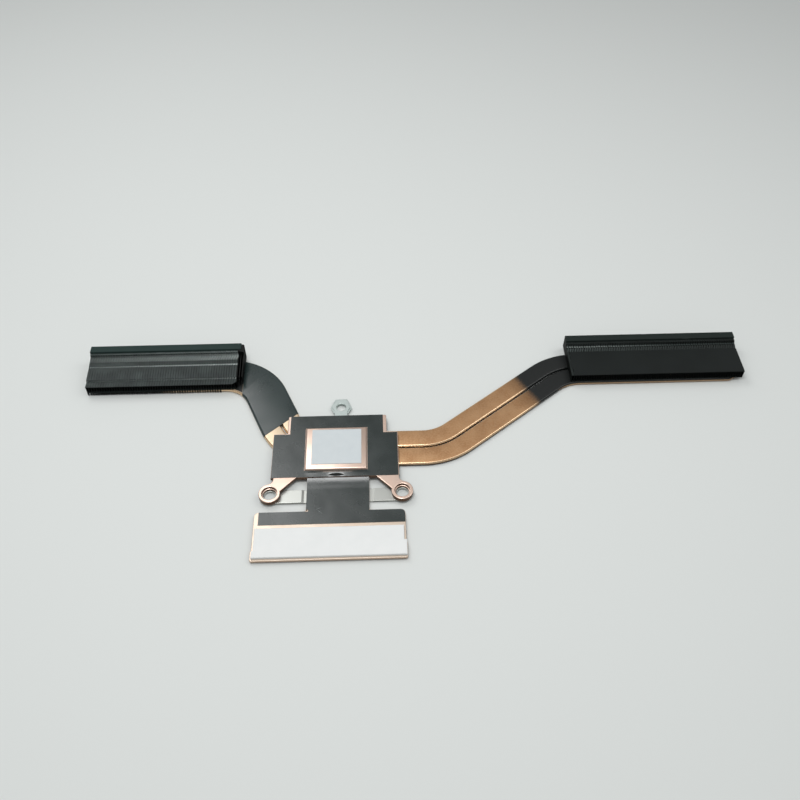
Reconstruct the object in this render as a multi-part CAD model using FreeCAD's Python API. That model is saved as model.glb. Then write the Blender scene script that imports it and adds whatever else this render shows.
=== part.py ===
"""Laptop cooling module: two flat heat pipes between two fin stacks, with a cold plate in the middle.

Millimetres. The origin is the middle of the grey pad's top face, where the processor touches it.
+Z points out of that face, +X runs along the pipes to the right stack, +Y runs to the fin stacks.
"""

import FreeCAD
import Part
import math
import os

V = FreeCAD.Vector

# Contact pad and pedestal
pad_length = 17.4
pad_width = 15.3
pad_thickness = 0.2
pedestal_length = 20.6
pedestal_width = 17.4
pedestal_height = 0.6
pedestal_chamfer = 0.35
pedestal_x = -0.35
pedestal_y = -0.1

# Cold plate, measured from the origin to each side
plate_left = 21.65
plate_right = 20.45
plate_rear = 14.1
plate_front = 11.5
plate_thickness = 1.2
plate_corner_radius = 0.5
left_notch_width = 4.7
right_notch_width = 3.75
notch_depth = 7.4

# Lug arms and rings at the front of the cold plate
ring_spacing = 42.9
ring_x = -0.2
ring_radius = 3.5
ring_boss_drop = 0.5
ring_counterbore_radius = 2.45
ring_counterbore_depth = 0.9
ring_bore_radius = 2.1
arm_reach = 5.8
arm_root_inner = 8.3
arm_root_outer = 0.9
arm_meets_ring = 0.9
arm_fillet = 2.0

# Insulating film on the cold plate, cut back from the plate's edges
film_thickness = 0.1
film_inset_left = 0.15
film_inset_right = 0.55
film_inset_rear = 0.05
film_inset_front = 0.05
film_inset_left_notch = 0.85
film_inset_right_notch = 1.2
film_inset_notch = 0.4
film_window_clearance = 0.15

# Heat pipes: round tubes pressed flat and bent in one plane, side by side
pipe_width = 7.0
pipe_thickness = 1.5
pipe_gap = 0.4
pipe_lane_plate = 0.85
pipe_lane_left = 35.65
pipe_lane_right = 34.85
left_return_x = -3.05
left_bend_angle = 66.5
left_bend_radius = 16.4
left_return_radius = 18.0
right_bend_x = 28.85
right_bend_angle = 37.4
right_bend_radius = 20.0
right_return_radius = 20.0
left_tip_setback = 1.75
right_tip_setback = 1.75
tip_length = 3.0
tip_width = 4.0
tip_thickness = 1.0

# Black film wrapped over the left pipes
pipe_film_end_angle = 41.0
pipe_film_clearance = 0.2

# Fin stacks
fin_pitch = 0.9
fin_thickness = 0.2
flange_thickness = 0.2
fin_edge_setback = 0.1

# Left stack: a band, a shelf, a ledge and a top, each behind and above the one before
left_fin_count = 62
left_bare_count = 1
left_stack_lap = 6.45
left_stack_lead = 0.25
left_band_depth = 2.5
left_band_height = 3.1
left_shelf_gap = 0.9
left_shelf_depth = 4.8
left_shelf_height = 4.3
left_ledge_gap = 0.8
left_ledge_depth = 3.4
left_ledge_height = 5.0
left_top_gap = 0.3
left_top_depth = 3.7
left_top_height = 5.5
left_corner_length = 3.3
left_corner_depth = 3.0

# Right stack: a long shelf, a ledge and a top
right_fin_count = 70
right_stack_lap = 3.4
right_stack_lead = -0.55
right_shelf_depth = 11.6
right_shelf_height = 3.3
right_ledge_gap = 1.3
right_ledge_depth = 0.8
right_ledge_height = 3.9
right_top_gap = 0.4
right_top_depth = 3.8
right_top_height = 4.7

# Foam strips and tape on the stacks
left_foam_width = 2.9
left_foam_thickness = 1.5
right_foam_width = 2.8
right_foam_thickness = 0.7
tape_thickness = 0.1
tape_margin = 0.3

# Rear lug, a steel stamping with a pressed rim
lug_x = 1.0
lug_reach = 4.8
lug_hole_radius = 1.7
lug_stem_width = 4.4
lug_sheet = 0.5
lug_head_width = 6.4
lug_head_flat = 3.6
lug_head_top = 3.4
lug_head_base = 2.0
lug_rim_width = 0.45
lug_rim_lap = 0.2
lug_rim_thickness = 0.4
lug_pipe_clearance = 1.0

# Second plate, for the voltage regulator, with its film and pad
vrm_thickness = 0.8
vrm_neck_width = 20.2
vrm_neck_x = 0.4
vrm_pipe_clearance = 1.6
vrm_ring_gap = 3.0
vrm_length = 48.0
vrm_depth = 17.4
vrm_x = -2.05
vrm_rear_radius = 1.4
vrm_front_radius = 0.6
vrm_neck_radius = 0.8
vrm_shoulder = 0.3
vrm_left_shoulder = 3.5
vrm_right_shoulder = 5.4
vrm_film_inset = 0.1
vrm_film_left_margin = 1.4
vrm_film_pad_gap = 1.6
vrm_pad_length = 46.7
vrm_pad_width = 10.4
vrm_pad_thickness = 1.0
vrm_pad_margin = 0.6

# Spring bar under the two rings
bar_width = 4.9
bar_thickness = 0.4
bar_shift = 0.35
bar_end_radius = 3.2
bar_hole_radius = 1.8
bar_joggle_run = 0.8
bar_joggle_start = 0.9

# Levels, from the contact face down
pad_bottom = -pad_thickness
plate_top = pad_bottom - pedestal_height
plate_bottom = plate_top - plate_thickness
ring_bottom = plate_bottom - ring_boss_drop
vrm_bottom = plate_bottom - vrm_thickness
pipe_top = plate_bottom
pipe_radius = pipe_thickness / 2
pipe_middle = pipe_top - pipe_radius
pipe_bottom = pipe_top - pipe_thickness
pair_half = pipe_width + pipe_gap / 2


def straight_run(rise, angle, first_radius, second_radius):
    """Length of the straight run between two opposite bends that move a pipe sideways by a rise."""
    turn = math.radians(angle)
    return (rise - (first_radius + second_radius) * (1 - math.cos(turn))) / math.sin(turn)


def shift_length(run, angle, first_radius, second_radius):
    """Length along X of two opposite bends and the straight run between them."""
    turn = math.radians(angle)
    return (first_radius + second_radius) * math.sin(turn) + run * math.cos(turn)


def stack_length(count):
    """Length of a stack with this many fins."""
    return (count - 1) * fin_pitch + fin_thickness


def stacked_levels(flanges):
    """Turn (open gap, depth, height) of each flange into (front, rear, height) from the front edge."""
    levels = []
    reach = 0
    for gap, depth, height in flanges:
        levels.append((reach + gap, reach + gap + depth, height))
        reach += gap + depth
    return levels


# Places that follow from the sizes above
ring_y = -plate_front - arm_reach
vrm_rear = ring_y - ring_radius - vrm_ring_gap
vrm_front = vrm_rear - vrm_depth
vrm_pad_front = vrm_front + vrm_pad_margin
vrm_pad_rear = vrm_pad_front + vrm_pad_width
vrm_left = vrm_x - vrm_length / 2
vrm_right = vrm_x + vrm_length / 2
neck_left = vrm_neck_x - vrm_neck_width / 2
neck_right = vrm_neck_x + vrm_neck_width / 2

left_run = straight_run(pipe_lane_left - pipe_lane_plate, left_bend_angle,
                        left_bend_radius, left_return_radius)
left_bend_x = left_return_x - shift_length(left_run, left_bend_angle, left_bend_radius, left_return_radius)
left_stack_right = left_bend_x + left_stack_lap
left_stack_left = left_stack_right - stack_length(left_fin_count)
left_roof_right = left_stack_right - left_bare_count * fin_pitch
left_stack_front = pipe_lane_left - pair_half - left_stack_lead
left_levels = stacked_levels([(0, left_band_depth, left_band_height),
                              (left_shelf_gap, left_shelf_depth, left_shelf_height),
                              (left_ledge_gap, left_ledge_depth, left_ledge_height),
                              (left_top_gap, left_top_depth, left_top_height)])
pipe_left_end = left_stack_left + left_tip_setback

right_run = straight_run(pipe_lane_right - pipe_lane_plate, right_bend_angle,
                         right_bend_radius, right_return_radius)
right_return_x = right_bend_x + shift_length(right_run, right_bend_angle,
                                             right_bend_radius, right_return_radius)
right_stack_left = right_return_x - right_stack_lap
right_stack_right = right_stack_left + stack_length(right_fin_count)
right_stack_front = pipe_lane_right - pair_half - right_stack_lead
right_levels = stacked_levels([(0, right_shelf_depth, right_shelf_height),
                               (right_ledge_gap, right_ledge_depth, right_ledge_height),
                               (right_top_gap, right_top_depth, right_top_height)])
pipe_right_end = right_stack_right - right_tip_setback


def block(x0, x1, y0, y1, z0, z1):
    """A box between two corners."""
    return Part.makeBox(x1 - x0, y1 - y0, z1 - z0, V(x0, y0, z0))


def outline_face(corners):
    """A flat face inside a closed line of corner points."""
    return Part.Face(Part.makePolygon(corners + corners[:1]))


def prism(points, z0, height):
    """A flat outline, raised straight up."""
    return outline_face([V(x, y, z0) for x, y in points]).extrude(V(0, 0, height))


def disc(x, y, radius, z0, z1):
    """An upright cylinder between two levels."""
    return Part.makeCylinder(radius, z1 - z0, V(x, y, z0))


def round_corners(shape, corners, radius):
    """Fillet the upright edge nearest to each corner point."""
    upright = [edge for edge in shape.Edges if abs(edge.tangentAt(edge.FirstParameter).z) > 0.99]
    chosen = []
    for x, y in corners:
        spot = V(x, y, upright[0].CenterOfMass.z)
        chosen.append(min(upright, key=lambda edge: edge.CenterOfMass.distanceToPoint(spot)))
    return shape.makeFillet(radius, chosen)


def ring_centre_x(side):
    """Middle of the left (-1) or right (+1) lug ring."""
    return ring_x + side * ring_spacing / 2


def phase_change_pad():
    return block(-pad_length / 2, pad_length / 2, -pad_width / 2, pad_width / 2, pad_bottom, 0)


def pedestal_block(margin, z0, z1):
    """The pedestal's outline, grown by a margin."""
    half_x = pedestal_length / 2 + margin
    half_y = pedestal_width / 2 + margin
    return block(pedestal_x - half_x, pedestal_x + half_x, pedestal_y - half_y, pedestal_y + half_y, z0, z1)


def notched_outline(left, right, front, rear, left_notch, right_notch, notch):
    """An outline with a notch at each rear corner, from the front left corner round."""
    return [(left, front), (right, front), (right, notch), (right_notch, notch), (right_notch, rear),
            (left_notch, rear), (left_notch, notch), (left, notch)]


def lug_arm(side):
    """A flat arm from inside the plate to one ring, with a fillet on its outer side."""
    x = ring_centre_x(side)
    inner_x = x - side * arm_root_inner
    outer_x = x - side * arm_root_outer
    points = [(inner_x, 0), (inner_x, -plate_front), (x - side * ring_radius, ring_y + arm_meets_ring),
              (x, ring_y), (outer_x, ring_y), (outer_x, 0)]
    arm = prism(points, plate_bottom, plate_thickness)
    lug = arm.fuse(disc(x, ring_y, ring_radius, plate_bottom, plate_top)).removeSplitter()
    corner_y = ring_y + math.sqrt(ring_radius ** 2 - arm_root_outer ** 2)
    return round_corners(lug, [(outer_x, corner_y)], arm_fillet)


def cold_plate():
    """Copper plate with its pedestal, arms and rings: one forged piece."""
    outline = notched_outline(-plate_left, plate_right, -plate_front, plate_rear,
                              left_notch_width - plate_left, plate_right - right_notch_width,
                              plate_rear - notch_depth)
    plate = round_corners(prism(outline, plate_bottom, plate_thickness), outline[2:], plate_corner_radius)
    pedestal = pedestal_block(0, plate_bottom + plate_thickness / 2, pad_bottom)
    rim = [edge for edge in pedestal.Edges if edge.BoundBox.ZMin > plate_top]
    body = plate.fuse([pedestal.makeChamfer(pedestal_chamfer, rim), lug_arm(-1), lug_arm(1)])
    for side in (-1, 1):
        body = body.fuse(disc(ring_centre_x(side), ring_y, ring_radius, ring_bottom, plate_top))
    body = body.removeSplitter()
    ledge = plate_top - ring_counterbore_depth
    for side in (-1, 1):
        x = ring_centre_x(side)
        body = body.cut(disc(x, ring_y, ring_bore_radius, ring_bottom, plate_top))
        body = body.cut(disc(x, ring_y, ring_counterbore_radius, ledge, plate_top))
    return body


def plate_film():
    """Black film on the plate, with a window for the pedestal."""
    outline = notched_outline(film_inset_left - plate_left, plate_right - film_inset_right,
                              film_inset_front - plate_front, plate_rear - film_inset_rear,
                              left_notch_width - plate_left + film_inset_left_notch,
                              plate_right - right_notch_width - film_inset_right_notch,
                              plate_rear - notch_depth - film_inset_notch)
    film = prism(outline, plate_top, film_thickness)
    return film.cut(pedestal_block(film_window_clearance, plate_top, pad_bottom))


class PipeLine:
    """Follows the middle of the pipe pair at a sideways offset, as straight runs and tangent arcs."""

    def __init__(self, x, y, offset):
        self.place = V(x, y, pipe_middle)
        self.heading = 0.0
        self.offset = offset
        self.edges = []

    def left(self):
        """Unit vector to the left of the present heading."""
        return V(-math.sin(self.heading), math.cos(self.heading), 0)

    def beside(self):
        """The point beside the middle line, at the offset."""
        return self.place + self.left() * self.offset

    def run(self, length):
        """Go straight on."""
        start = self.beside()
        self.place = self.place + V(math.cos(self.heading), math.sin(self.heading), 0) * length
        self.edges.append(Part.LineSegment(start, self.beside()).toShape())

    def bend(self, radius, degrees):
        """Turn left by a positive angle, or right by a negative one."""
        to_centre = math.copysign(radius, degrees)
        centre = self.place + self.left() * to_centre
        stops = [self.beside()]
        for half in range(2):
            self.heading += math.radians(degrees) / 2
            self.place = centre - self.left() * to_centre
            stops.append(self.beside())
        self.edges.append(Part.Arc(*stops).toShape())


def tube_section(x, y, width, thickness):
    """Section of a pressed tube, across the X axis: each of its half-round edges is three flats."""
    half = width / 2
    radius = thickness / 2
    rear = [(half - radius, radius), (half, radius / 2), (half, -radius / 2), (half - radius, -radius)]
    front = [(-across, -up) for across, up in rear]
    corners = [V(x, y + across, pipe_middle + up) for across, up in rear + front]
    return Part.makePolygon(corners + corners[:1])


def heat_pipe(side):
    """Rear (+1) or front (-1) pipe, with its two pinched and sealed tips."""
    line = PipeLine(pipe_left_end + tip_length, pipe_lane_left, side * (pipe_width + pipe_gap) / 2)
    first = line.beside()
    line.run(left_bend_x - line.place.x)
    line.bend(left_bend_radius, -left_bend_angle)
    line.run(left_run)
    line.bend(left_return_radius, left_bend_angle)
    line.run(right_bend_x - line.place.x)
    line.bend(right_bend_radius, right_bend_angle)
    line.run(right_run)
    line.bend(right_return_radius, -right_bend_angle)
    line.run(pipe_right_end - tip_length - line.place.x)
    last = line.beside()
    tube = Part.Wire(line.edges).makePipeShell(
        [tube_section(first.x, first.y, pipe_width, pipe_thickness)], True, False)
    tips = []
    for root, direction in ((first, -1), (last, 1)):
        wide = tube_section(root.x, root.y, pipe_width, pipe_thickness)
        narrow = tube_section(root.x + direction * tip_length, root.y, tip_width, tip_thickness)
        tips.append(Part.makeLoft([wide, narrow], True, True))
    return tube.fuse(tips).removeSplitter()


def rear_heat_pipe():
    return heat_pipe(1)


def front_heat_pipe():
    return heat_pipe(-1)


def wrap_section():
    """Section of a film that lies on both pipes and folds down over their outer edges."""
    fold = math.atan2(pipe_radius / 2, pipe_radius)
    flat = pair_half - pipe_radius
    rear = [(flat, pipe_radius), (pair_half, pipe_radius / 2),
            (pair_half + film_thickness * math.sin(fold), pipe_radius / 2 + film_thickness * math.cos(fold)),
            (flat + film_thickness * math.tan(fold / 2), pipe_radius + film_thickness)]
    front = [(-across, up) for across, up in reversed(rear)]
    corners = [V(left_bend_x, pipe_lane_left + across, pipe_middle + up) for across, up in rear + front]
    return Part.makePolygon(corners + corners[:1])


def left_pipe_film():
    """Film across both left pipes, from the fin stack to a slanted end before the plate."""
    line = PipeLine(left_bend_x, pipe_lane_left, 0)
    line.bend(left_bend_radius, -left_bend_angle)
    line.run(left_run)
    slanted_end = V(line.place.x, line.place.y, 0)
    line.bend(left_return_radius, left_bend_angle)
    strip = Part.Wire(line.edges).makePipeShell([wrap_section()], True, False)
    reach = 2 * pipe_lane_left
    film_left = left_stack_right + pipe_film_clearance
    under_stack = block(film_left - reach, film_left, -reach, reach, pipe_bottom, 0)
    beyond_end = block(-reach, reach, -reach, 0, pipe_bottom, 0)
    beyond_end.rotate(V(0, 0, 0), V(0, 0, 1), pipe_film_end_angle)
    beyond_end.translate(slanted_end)
    return strip.cut(under_stack).cut(beyond_end)


def fin_outline(front, levels):
    """Side view of one fin: from the floor to the roof flanges, and sloped across the open gaps."""
    floor_top = pipe_top + flange_thickness
    first = front + fin_edge_setback
    last = front + levels[-1][1] - fin_edge_setback
    points = [(first, floor_top), (last, floor_top)]
    for near, far, height in reversed(levels):
        under_roof = pipe_top + height - flange_thickness
        points.append((min(front + far, last), under_roof))
        points.append((max(front + near, first), under_roof))
    return points


def fin_stack(left, count, roof_right, front, levels):
    """Fins zipped side by side: their folded flanges make the floor and the stepped roof."""
    right = left + stack_length(count)
    floor = block(left, right, front, front + levels[-1][1], pipe_top, pipe_top + flange_thickness)
    pieces = []
    for near, far, height in levels:
        roof = pipe_top + height
        pieces.append(block(left, roof_right, front + near, front + far, roof - flange_thickness, roof))
    outline = fin_outline(front, levels)
    for index in range(count):
        face = outline_face([V(left + index * fin_pitch, y, z) for y, z in outline])
        pieces.append(face.extrude(V(fin_thickness, 0, 0)))
    return floor.fuse(pieces).removeSplitter()


def left_fin_stack():
    """Left stack, with its front corner cut away where the pipes bend out."""
    stack = fin_stack(left_stack_left, left_fin_count, left_roof_right, left_stack_front, left_levels)
    near_x = left_stack_right - left_corner_length
    far_x = left_stack_right + left_corner_length
    low_y = left_stack_front - left_corner_depth
    high_y = left_stack_front + left_corner_depth
    corner = [(near_x, left_stack_front), (left_stack_right, high_y), (far_x, high_y),
              (far_x, low_y), (near_x, low_y)]
    return stack.cut(prism(corner, pipe_bottom, pipe_thickness + 2 * left_top_height))


def right_fin_stack():
    return fin_stack(right_stack_left, right_fin_count, right_stack_right, right_stack_front, right_levels)


def left_foam_strip():
    """Foam along the rear edge of the left stack's top."""
    rear = left_stack_front + left_levels[-1][1]
    seat = pipe_top + left_top_height
    return block(left_stack_left, left_roof_right, rear - left_foam_width, rear,
                 seat, seat + left_foam_thickness)


def right_foam_strip():
    """Foam along the rear edge of the right stack's top."""
    rear = right_stack_front + right_levels[-1][1]
    seat = pipe_top + right_top_height
    return block(right_stack_left, right_stack_right, rear - right_foam_width, rear,
                 seat, seat + right_foam_thickness)


def right_fin_tape():
    """Tape on the right stack's long shelf."""
    seat = pipe_top + right_shelf_height
    return block(right_stack_left + tape_margin, right_stack_right,
                 right_stack_front, right_stack_front + right_shelf_depth - tape_margin,
                 seat, seat + tape_thickness)


def rear_lug():
    """Steel lug soldered under the plate's rear edge: a stem and a six-sided head in a pressed rim."""
    hole_y = plate_rear + lug_reach
    sheet_bottom = plate_bottom - lug_sheet
    stem_half = lug_stem_width / 2
    stem_front = pipe_lane_plate + pair_half + lug_pipe_clearance
    stem = block(lug_x - stem_half, lug_x + stem_half, stem_front, hole_y, sheet_bottom, plate_bottom)
    right_side = [(stem_half, -lug_head_base), (lug_head_width / 2, 0), (lug_head_flat / 2, lug_head_top)]
    left_side = [(-x, y) for x, y in reversed(right_side)]
    head = outline_face([V(lug_x + x, hole_y + y, sheet_bottom) for x, y in right_side + left_side])
    rim = head.makeOffset2D(lug_rim_width)
    rim.translate(V(0, 0, lug_rim_lap))
    lug = stem.fuse([head.extrude(V(0, 0, lug_sheet)), rim.extrude(V(0, 0, -lug_rim_thickness))])
    rim_bottom = sheet_bottom + lug_rim_lap - lug_rim_thickness
    return lug.removeSplitter().cut(disc(lug_x, hole_y, lug_hole_radius, rim_bottom, plate_bottom))


def vrm_plate():
    """T-shaped copper sheet: its neck is soldered under the cold plate."""
    neck_rear = pipe_lane_plate - pair_half - vrm_pipe_clearance
    left_step = vrm_front + vrm_left_shoulder
    right_step = vrm_front + vrm_right_shoulder
    points = [(neck_left, neck_rear), (neck_left, vrm_rear), (vrm_left, vrm_rear), (vrm_left, left_step),
              (vrm_left - vrm_shoulder, left_step), (vrm_left - vrm_shoulder, vrm_front),
              (vrm_right + vrm_shoulder, vrm_front), (vrm_right + vrm_shoulder, right_step),
              (vrm_right, right_step), (vrm_right, vrm_rear), (neck_right, vrm_rear), (neck_right, neck_rear)]
    sheet = prism(points, vrm_bottom, vrm_thickness)
    sheet = round_corners(sheet, [points[2], points[9]], vrm_rear_radius)
    sheet = round_corners(sheet, [points[5], points[6]], vrm_front_radius)
    return round_corners(sheet, [points[1], points[10]], vrm_neck_radius)


def vrm_film():
    """Film on the neck and on the rear part of the wide end."""
    start = -plate_front - vrm_film_inset
    rear = vrm_rear - vrm_film_inset
    front = vrm_pad_rear + vrm_film_pad_gap
    left = vrm_left + vrm_film_left_margin
    right = vrm_right - vrm_film_inset
    points = [(neck_left + vrm_film_inset, start), (neck_left + vrm_film_inset, rear), (left, rear),
              (left, front), (right, front), (right, rear), (neck_right - vrm_film_inset, rear),
              (neck_right - vrm_film_inset, start)]
    return round_corners(prism(points, plate_bottom, film_thickness), [points[5]], vrm_rear_radius)


def vrm_pad():
    """White pad along the front of the second plate."""
    return block(vrm_x - vrm_pad_length / 2, vrm_x + vrm_pad_length / 2, vrm_pad_front, vrm_pad_rear,
                 plate_bottom, plate_bottom + vrm_pad_thickness)


def spring_bar():
    """Steel leaf from ring to ring, stepped down to pass under the second plate's neck."""
    left_x = ring_centre_x(-1)
    right_x = ring_centre_x(1)
    low_left = neck_left - bar_joggle_start
    low_right = neck_right + bar_joggle_start
    upper = [(left_x, ring_bottom), (low_left - bar_joggle_run, ring_bottom), (low_left, vrm_bottom),
             (low_right, vrm_bottom), (low_right + bar_joggle_run, ring_bottom), (right_x, ring_bottom)]
    lower = [(x, z - bar_thickness) for x, z in reversed(upper)]
    front = ring_y - bar_shift - bar_width / 2
    leaf = outline_face([V(x, front, z) for x, z in upper + lower]).extrude(V(0, bar_width, 0))
    bottom = ring_bottom - bar_thickness
    leaf = leaf.fuse([disc(x, ring_y, bar_end_radius, bottom, ring_bottom) for x in (left_x, right_x)])
    leaf = leaf.removeSplitter()
    for x in (left_x, right_x):
        leaf = leaf.cut(disc(x, ring_y, bar_hole_radius, bottom, ring_bottom))
    return leaf


pieces = [cold_plate, plate_film, phase_change_pad, rear_heat_pipe, front_heat_pipe, left_pipe_film,
          left_fin_stack, right_fin_stack, left_foam_strip, right_foam_strip, right_fin_tape, rear_lug,
          spring_bar, vrm_plate, vrm_film, vrm_pad]

os.makedirs("parts", exist_ok=True)
for piece in pieces:
    shape = piece()
    shape.exportStep("parts/" + piece.__name__ + ".step")
    print(piece.__name__, len(shape.Solids), "solid, valid", shape.isValid(), round(shape.Volume, 1), "mm3")
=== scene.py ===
# %% [markdown]
# # A laptop cooling module
# Two flat copper heat pipes carry heat from a cold plate in the middle to a fin stack at each end.
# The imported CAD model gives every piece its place. This script dresses it: it rounds the edges, folds
# each fin on its own, lays the films and pads, and gives each surface its real material.
# Sizes below are in millimetres, and become metres when a mesh is made.

# %% Load the frame
import math

import bmesh
import bpy
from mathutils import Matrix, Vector, noise


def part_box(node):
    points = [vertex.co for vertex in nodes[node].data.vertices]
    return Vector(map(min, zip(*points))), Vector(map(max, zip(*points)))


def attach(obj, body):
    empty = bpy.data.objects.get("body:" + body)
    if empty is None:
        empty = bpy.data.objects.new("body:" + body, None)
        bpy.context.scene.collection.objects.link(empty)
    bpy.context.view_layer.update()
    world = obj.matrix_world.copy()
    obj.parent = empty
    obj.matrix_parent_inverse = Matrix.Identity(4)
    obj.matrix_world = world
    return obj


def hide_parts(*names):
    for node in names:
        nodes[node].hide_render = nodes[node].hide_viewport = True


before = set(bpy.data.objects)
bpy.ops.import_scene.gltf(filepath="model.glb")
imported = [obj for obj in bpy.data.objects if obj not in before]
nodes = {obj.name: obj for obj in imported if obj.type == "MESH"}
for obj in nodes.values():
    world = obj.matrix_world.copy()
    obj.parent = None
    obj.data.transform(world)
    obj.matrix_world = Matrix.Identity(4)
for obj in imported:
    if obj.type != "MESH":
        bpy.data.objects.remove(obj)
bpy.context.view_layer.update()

scene = bpy.context.scene
print("frame with", len(nodes), "CAD nodes")

# %% Millimetres and the places of the nodes
MM = 0.001


def box_mm(node):
    """A node's lowest and highest corners, in millimetres."""
    low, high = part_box(node)
    return low / MM, high / MM


print("corners of the cold plate:", *box_mm("cold_plate"))

# %% [markdown]
# ## From numbers to meshes
# Every piece is drawn with bmesh in millimetres, or copied from a CAD node, and then becomes an object
# in metres at the origin. Drawing in place, with no object transform, keeps Object coordinates equal
# to the part's own frame, so that a pattern can be placed by the same numbers as the shape.

# %% Helpers for meshes


def object_from(name, bm, scale=MM):
    """Turn a bmesh into an object, with its faces outward; the bmesh is in millimetres by default."""
    bmesh.ops.recalc_face_normals(bm, faces=bm.faces)
    bmesh.ops.scale(bm, vec=(scale, scale, scale), verts=bm.verts)
    mesh = bpy.data.meshes.new(name)
    bm.to_mesh(mesh)
    bm.free()
    piece = bpy.data.objects.new(name, mesh)
    scene.collection.objects.link(piece)
    return piece


def settle(piece):
    """Bake a piece's modifiers into a plain mesh."""
    view = bpy.context.evaluated_depsgraph_get()
    mesh = bpy.data.meshes.new_from_object(piece.evaluated_get(view))
    piece.modifiers.clear()
    piece.data = mesh
    return piece


def shade(piece, degrees):
    """Shade smoothly, except across edges sharper than an angle."""
    piece.data.shade_smooth()
    piece.data.set_sharp_from_angle(angle=math.radians(degrees))
    return piece


def place_piece(piece, material, slot, *stands_for):
    """Give a piece its material, put it on the part's body and say which CAD nodes it stands for."""
    piece.data.materials.clear()
    piece.data.materials.append(material)
    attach(piece, "root")
    if stands_for:
        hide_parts(*stands_for)
    print(piece.name, "has", len(piece.data.polygons), "faces")


print("mesh helpers ready")

# %% [markdown]
# ## From hex values to materials
# A Principled shader expects linear colour, while a colour picked by eye is an sRGB hex value, so one
# function converts. Another adds a node with its settings and links. Patterns read Object coordinates
# in metres, so a grain of a given size in millimetres has a scale of one over that size. The shader comes
# last, when everything that feeds it is there.

# %% Helpers for materials


def linear(code):
    """Turn an sRGB hex value into a linear colour."""
    parts = [int(code[k:k + 2], 16) / 255 for k in (1, 3, 5)]
    return tuple(c / 12.92 if c <= 0.04045 else ((c + 0.055) / 1.055) ** 2.4 for c in parts) + (1.0,)


def add_node(tree, kind, inputs=None, **settings):
    """Add a node; each input is a plain value, or another node's output to link."""
    node = tree.nodes.new(kind)
    for name, value in settings.items():
        setattr(node, name, value)
    for name, value in (inputs or {}).items():
        if isinstance(value, bpy.types.NodeSocket):
            tree.links.new(value, node.inputs[name])
        else:
            node.inputs[name].default_value = value
    return node


def new_material(name):
    """A material with an empty tree; returns it, its tree and Object coordinates."""
    material = bpy.data.materials.new(name)
    material.use_nodes = True
    tree = material.node_tree
    tree.nodes.clear()
    return material, tree, add_node(tree, "ShaderNodeTexCoord").outputs["Object"]


def end_material(material, inputs):
    """Finish a material with a Principled shader that has these inputs."""
    tree = material.node_tree
    shader = add_node(tree, "ShaderNodeBsdfPrincipled", inputs)
    add_node(tree, "ShaderNodeOutputMaterial", {"Surface": shader.outputs["BSDF"]})
    return material


def grain(size):
    """Texture scale for a grain of this size in millimetres."""
    return 1 / (size * MM)


def facing(tree, direction, low, high):
    """How far a surface faces a direction: zero below one cosine, and one above another."""
    normal = add_node(tree, "ShaderNodeTexCoord").outputs["Normal"]
    dot = add_node(tree, "ShaderNodeVectorMath", {0: normal, 1: direction}, operation="DOT_PRODUCT")
    return add_node(tree, "ShaderNodeMapRange", {
        "Value": dot.outputs["Value"], "From Min": low, "From Max": high}).outputs["Result"]


print("material helpers ready")

# %% [markdown]
# ## Forged and sheet copper
# The cold plate is forged and milled copper, bare and lightly tarnished, so it is a rough pinkish metal
# with slow colour clouds. The side plate is rolled sheet, paler and a little smoother, with fine lines
# along its length. A noise drives the colour and the roughness together, because tarnish is duller too.
# The walls and the bores of the rings, which do not face up, are painted a darker brown as painted shade.

# %% Copper for the plates
UP = (0.0, 0.0, 1.0)
WALL_SHADE_COSINES = (0.1, 0.6)
NOISE_LOW = 0.3
NOISE_HIGH = 0.7
# Real rolling lines are too fine to show, so these are drawn coarser.
COPPER_LINE = 0.3


def copper(name, bright, dull, shaded_wall, cloud, gloss, mat, stretch):
    """Bare copper: tarnish clouds of a size in millimetres, walls painted brown as painted shade, and fine
    lines along X.
    """
    material, tree, where = new_material(name)
    clouds = add_node(tree, "ShaderNodeTexNoise", {
        "Vector": where, "Scale": grain(cloud), "Detail": 4.0}).outputs["Fac"]
    clouded = add_node(tree, "ShaderNodeMix", {
        0: clouds, 6: linear(bright), 7: linear(dull)}, data_type="RGBA").outputs[2]
    # Surfaces that do not face up take the wall colour: painted shade.
    rubbed_and_shaded = add_node(tree, "ShaderNodeMix", {
        0: facing(tree, UP, *WALL_SHADE_COSINES), 6: linear(shaded_wall), 7: clouded}, data_type="RGBA").outputs[2]
    rough = add_node(tree, "ShaderNodeMapRange", {
        "Value": clouds, "From Min": NOISE_LOW, "From Max": NOISE_HIGH,
        "To Min": gloss, "To Max": mat}).outputs["Result"]
    drawn = add_node(tree, "ShaderNodeMapping", {
        "Vector": where, "Scale": (1 / stretch, 1.0, 1.0)}).outputs["Vector"]
    streaks = add_node(tree, "ShaderNodeTexNoise", {"Vector": drawn, "Scale": grain(COPPER_LINE)})
    bump = add_node(tree, "ShaderNodeBump", {
        "Height": streaks.outputs["Fac"], "Strength": 0.25, "Distance": 0.02 * MM}).outputs["Normal"]
    return end_material(material, {
        "Base Color": rubbed_and_shaded, "Metallic": 1.0, "Roughness": rough, "Normal": bump})


# Forged copper: a soft pink-cream metal, clouded by tarnish.
forged_copper = copper("forged copper", "#EBD6C8", "#DDBFAD", "#5E4738",
                       cloud=5.0, gloss=0.33, mat=0.40, stretch=2)
# Rolled copper sheet: a paler cream metal with lines along the rolling direction.
sheet_copper = copper("rolled copper sheet", "#DDCFC0", "#D0BCAA", "#C9AF9A",
                      cloud=7.0, gloss=0.37, mat=0.45, stretch=12)
print("plate copper ready")

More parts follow.
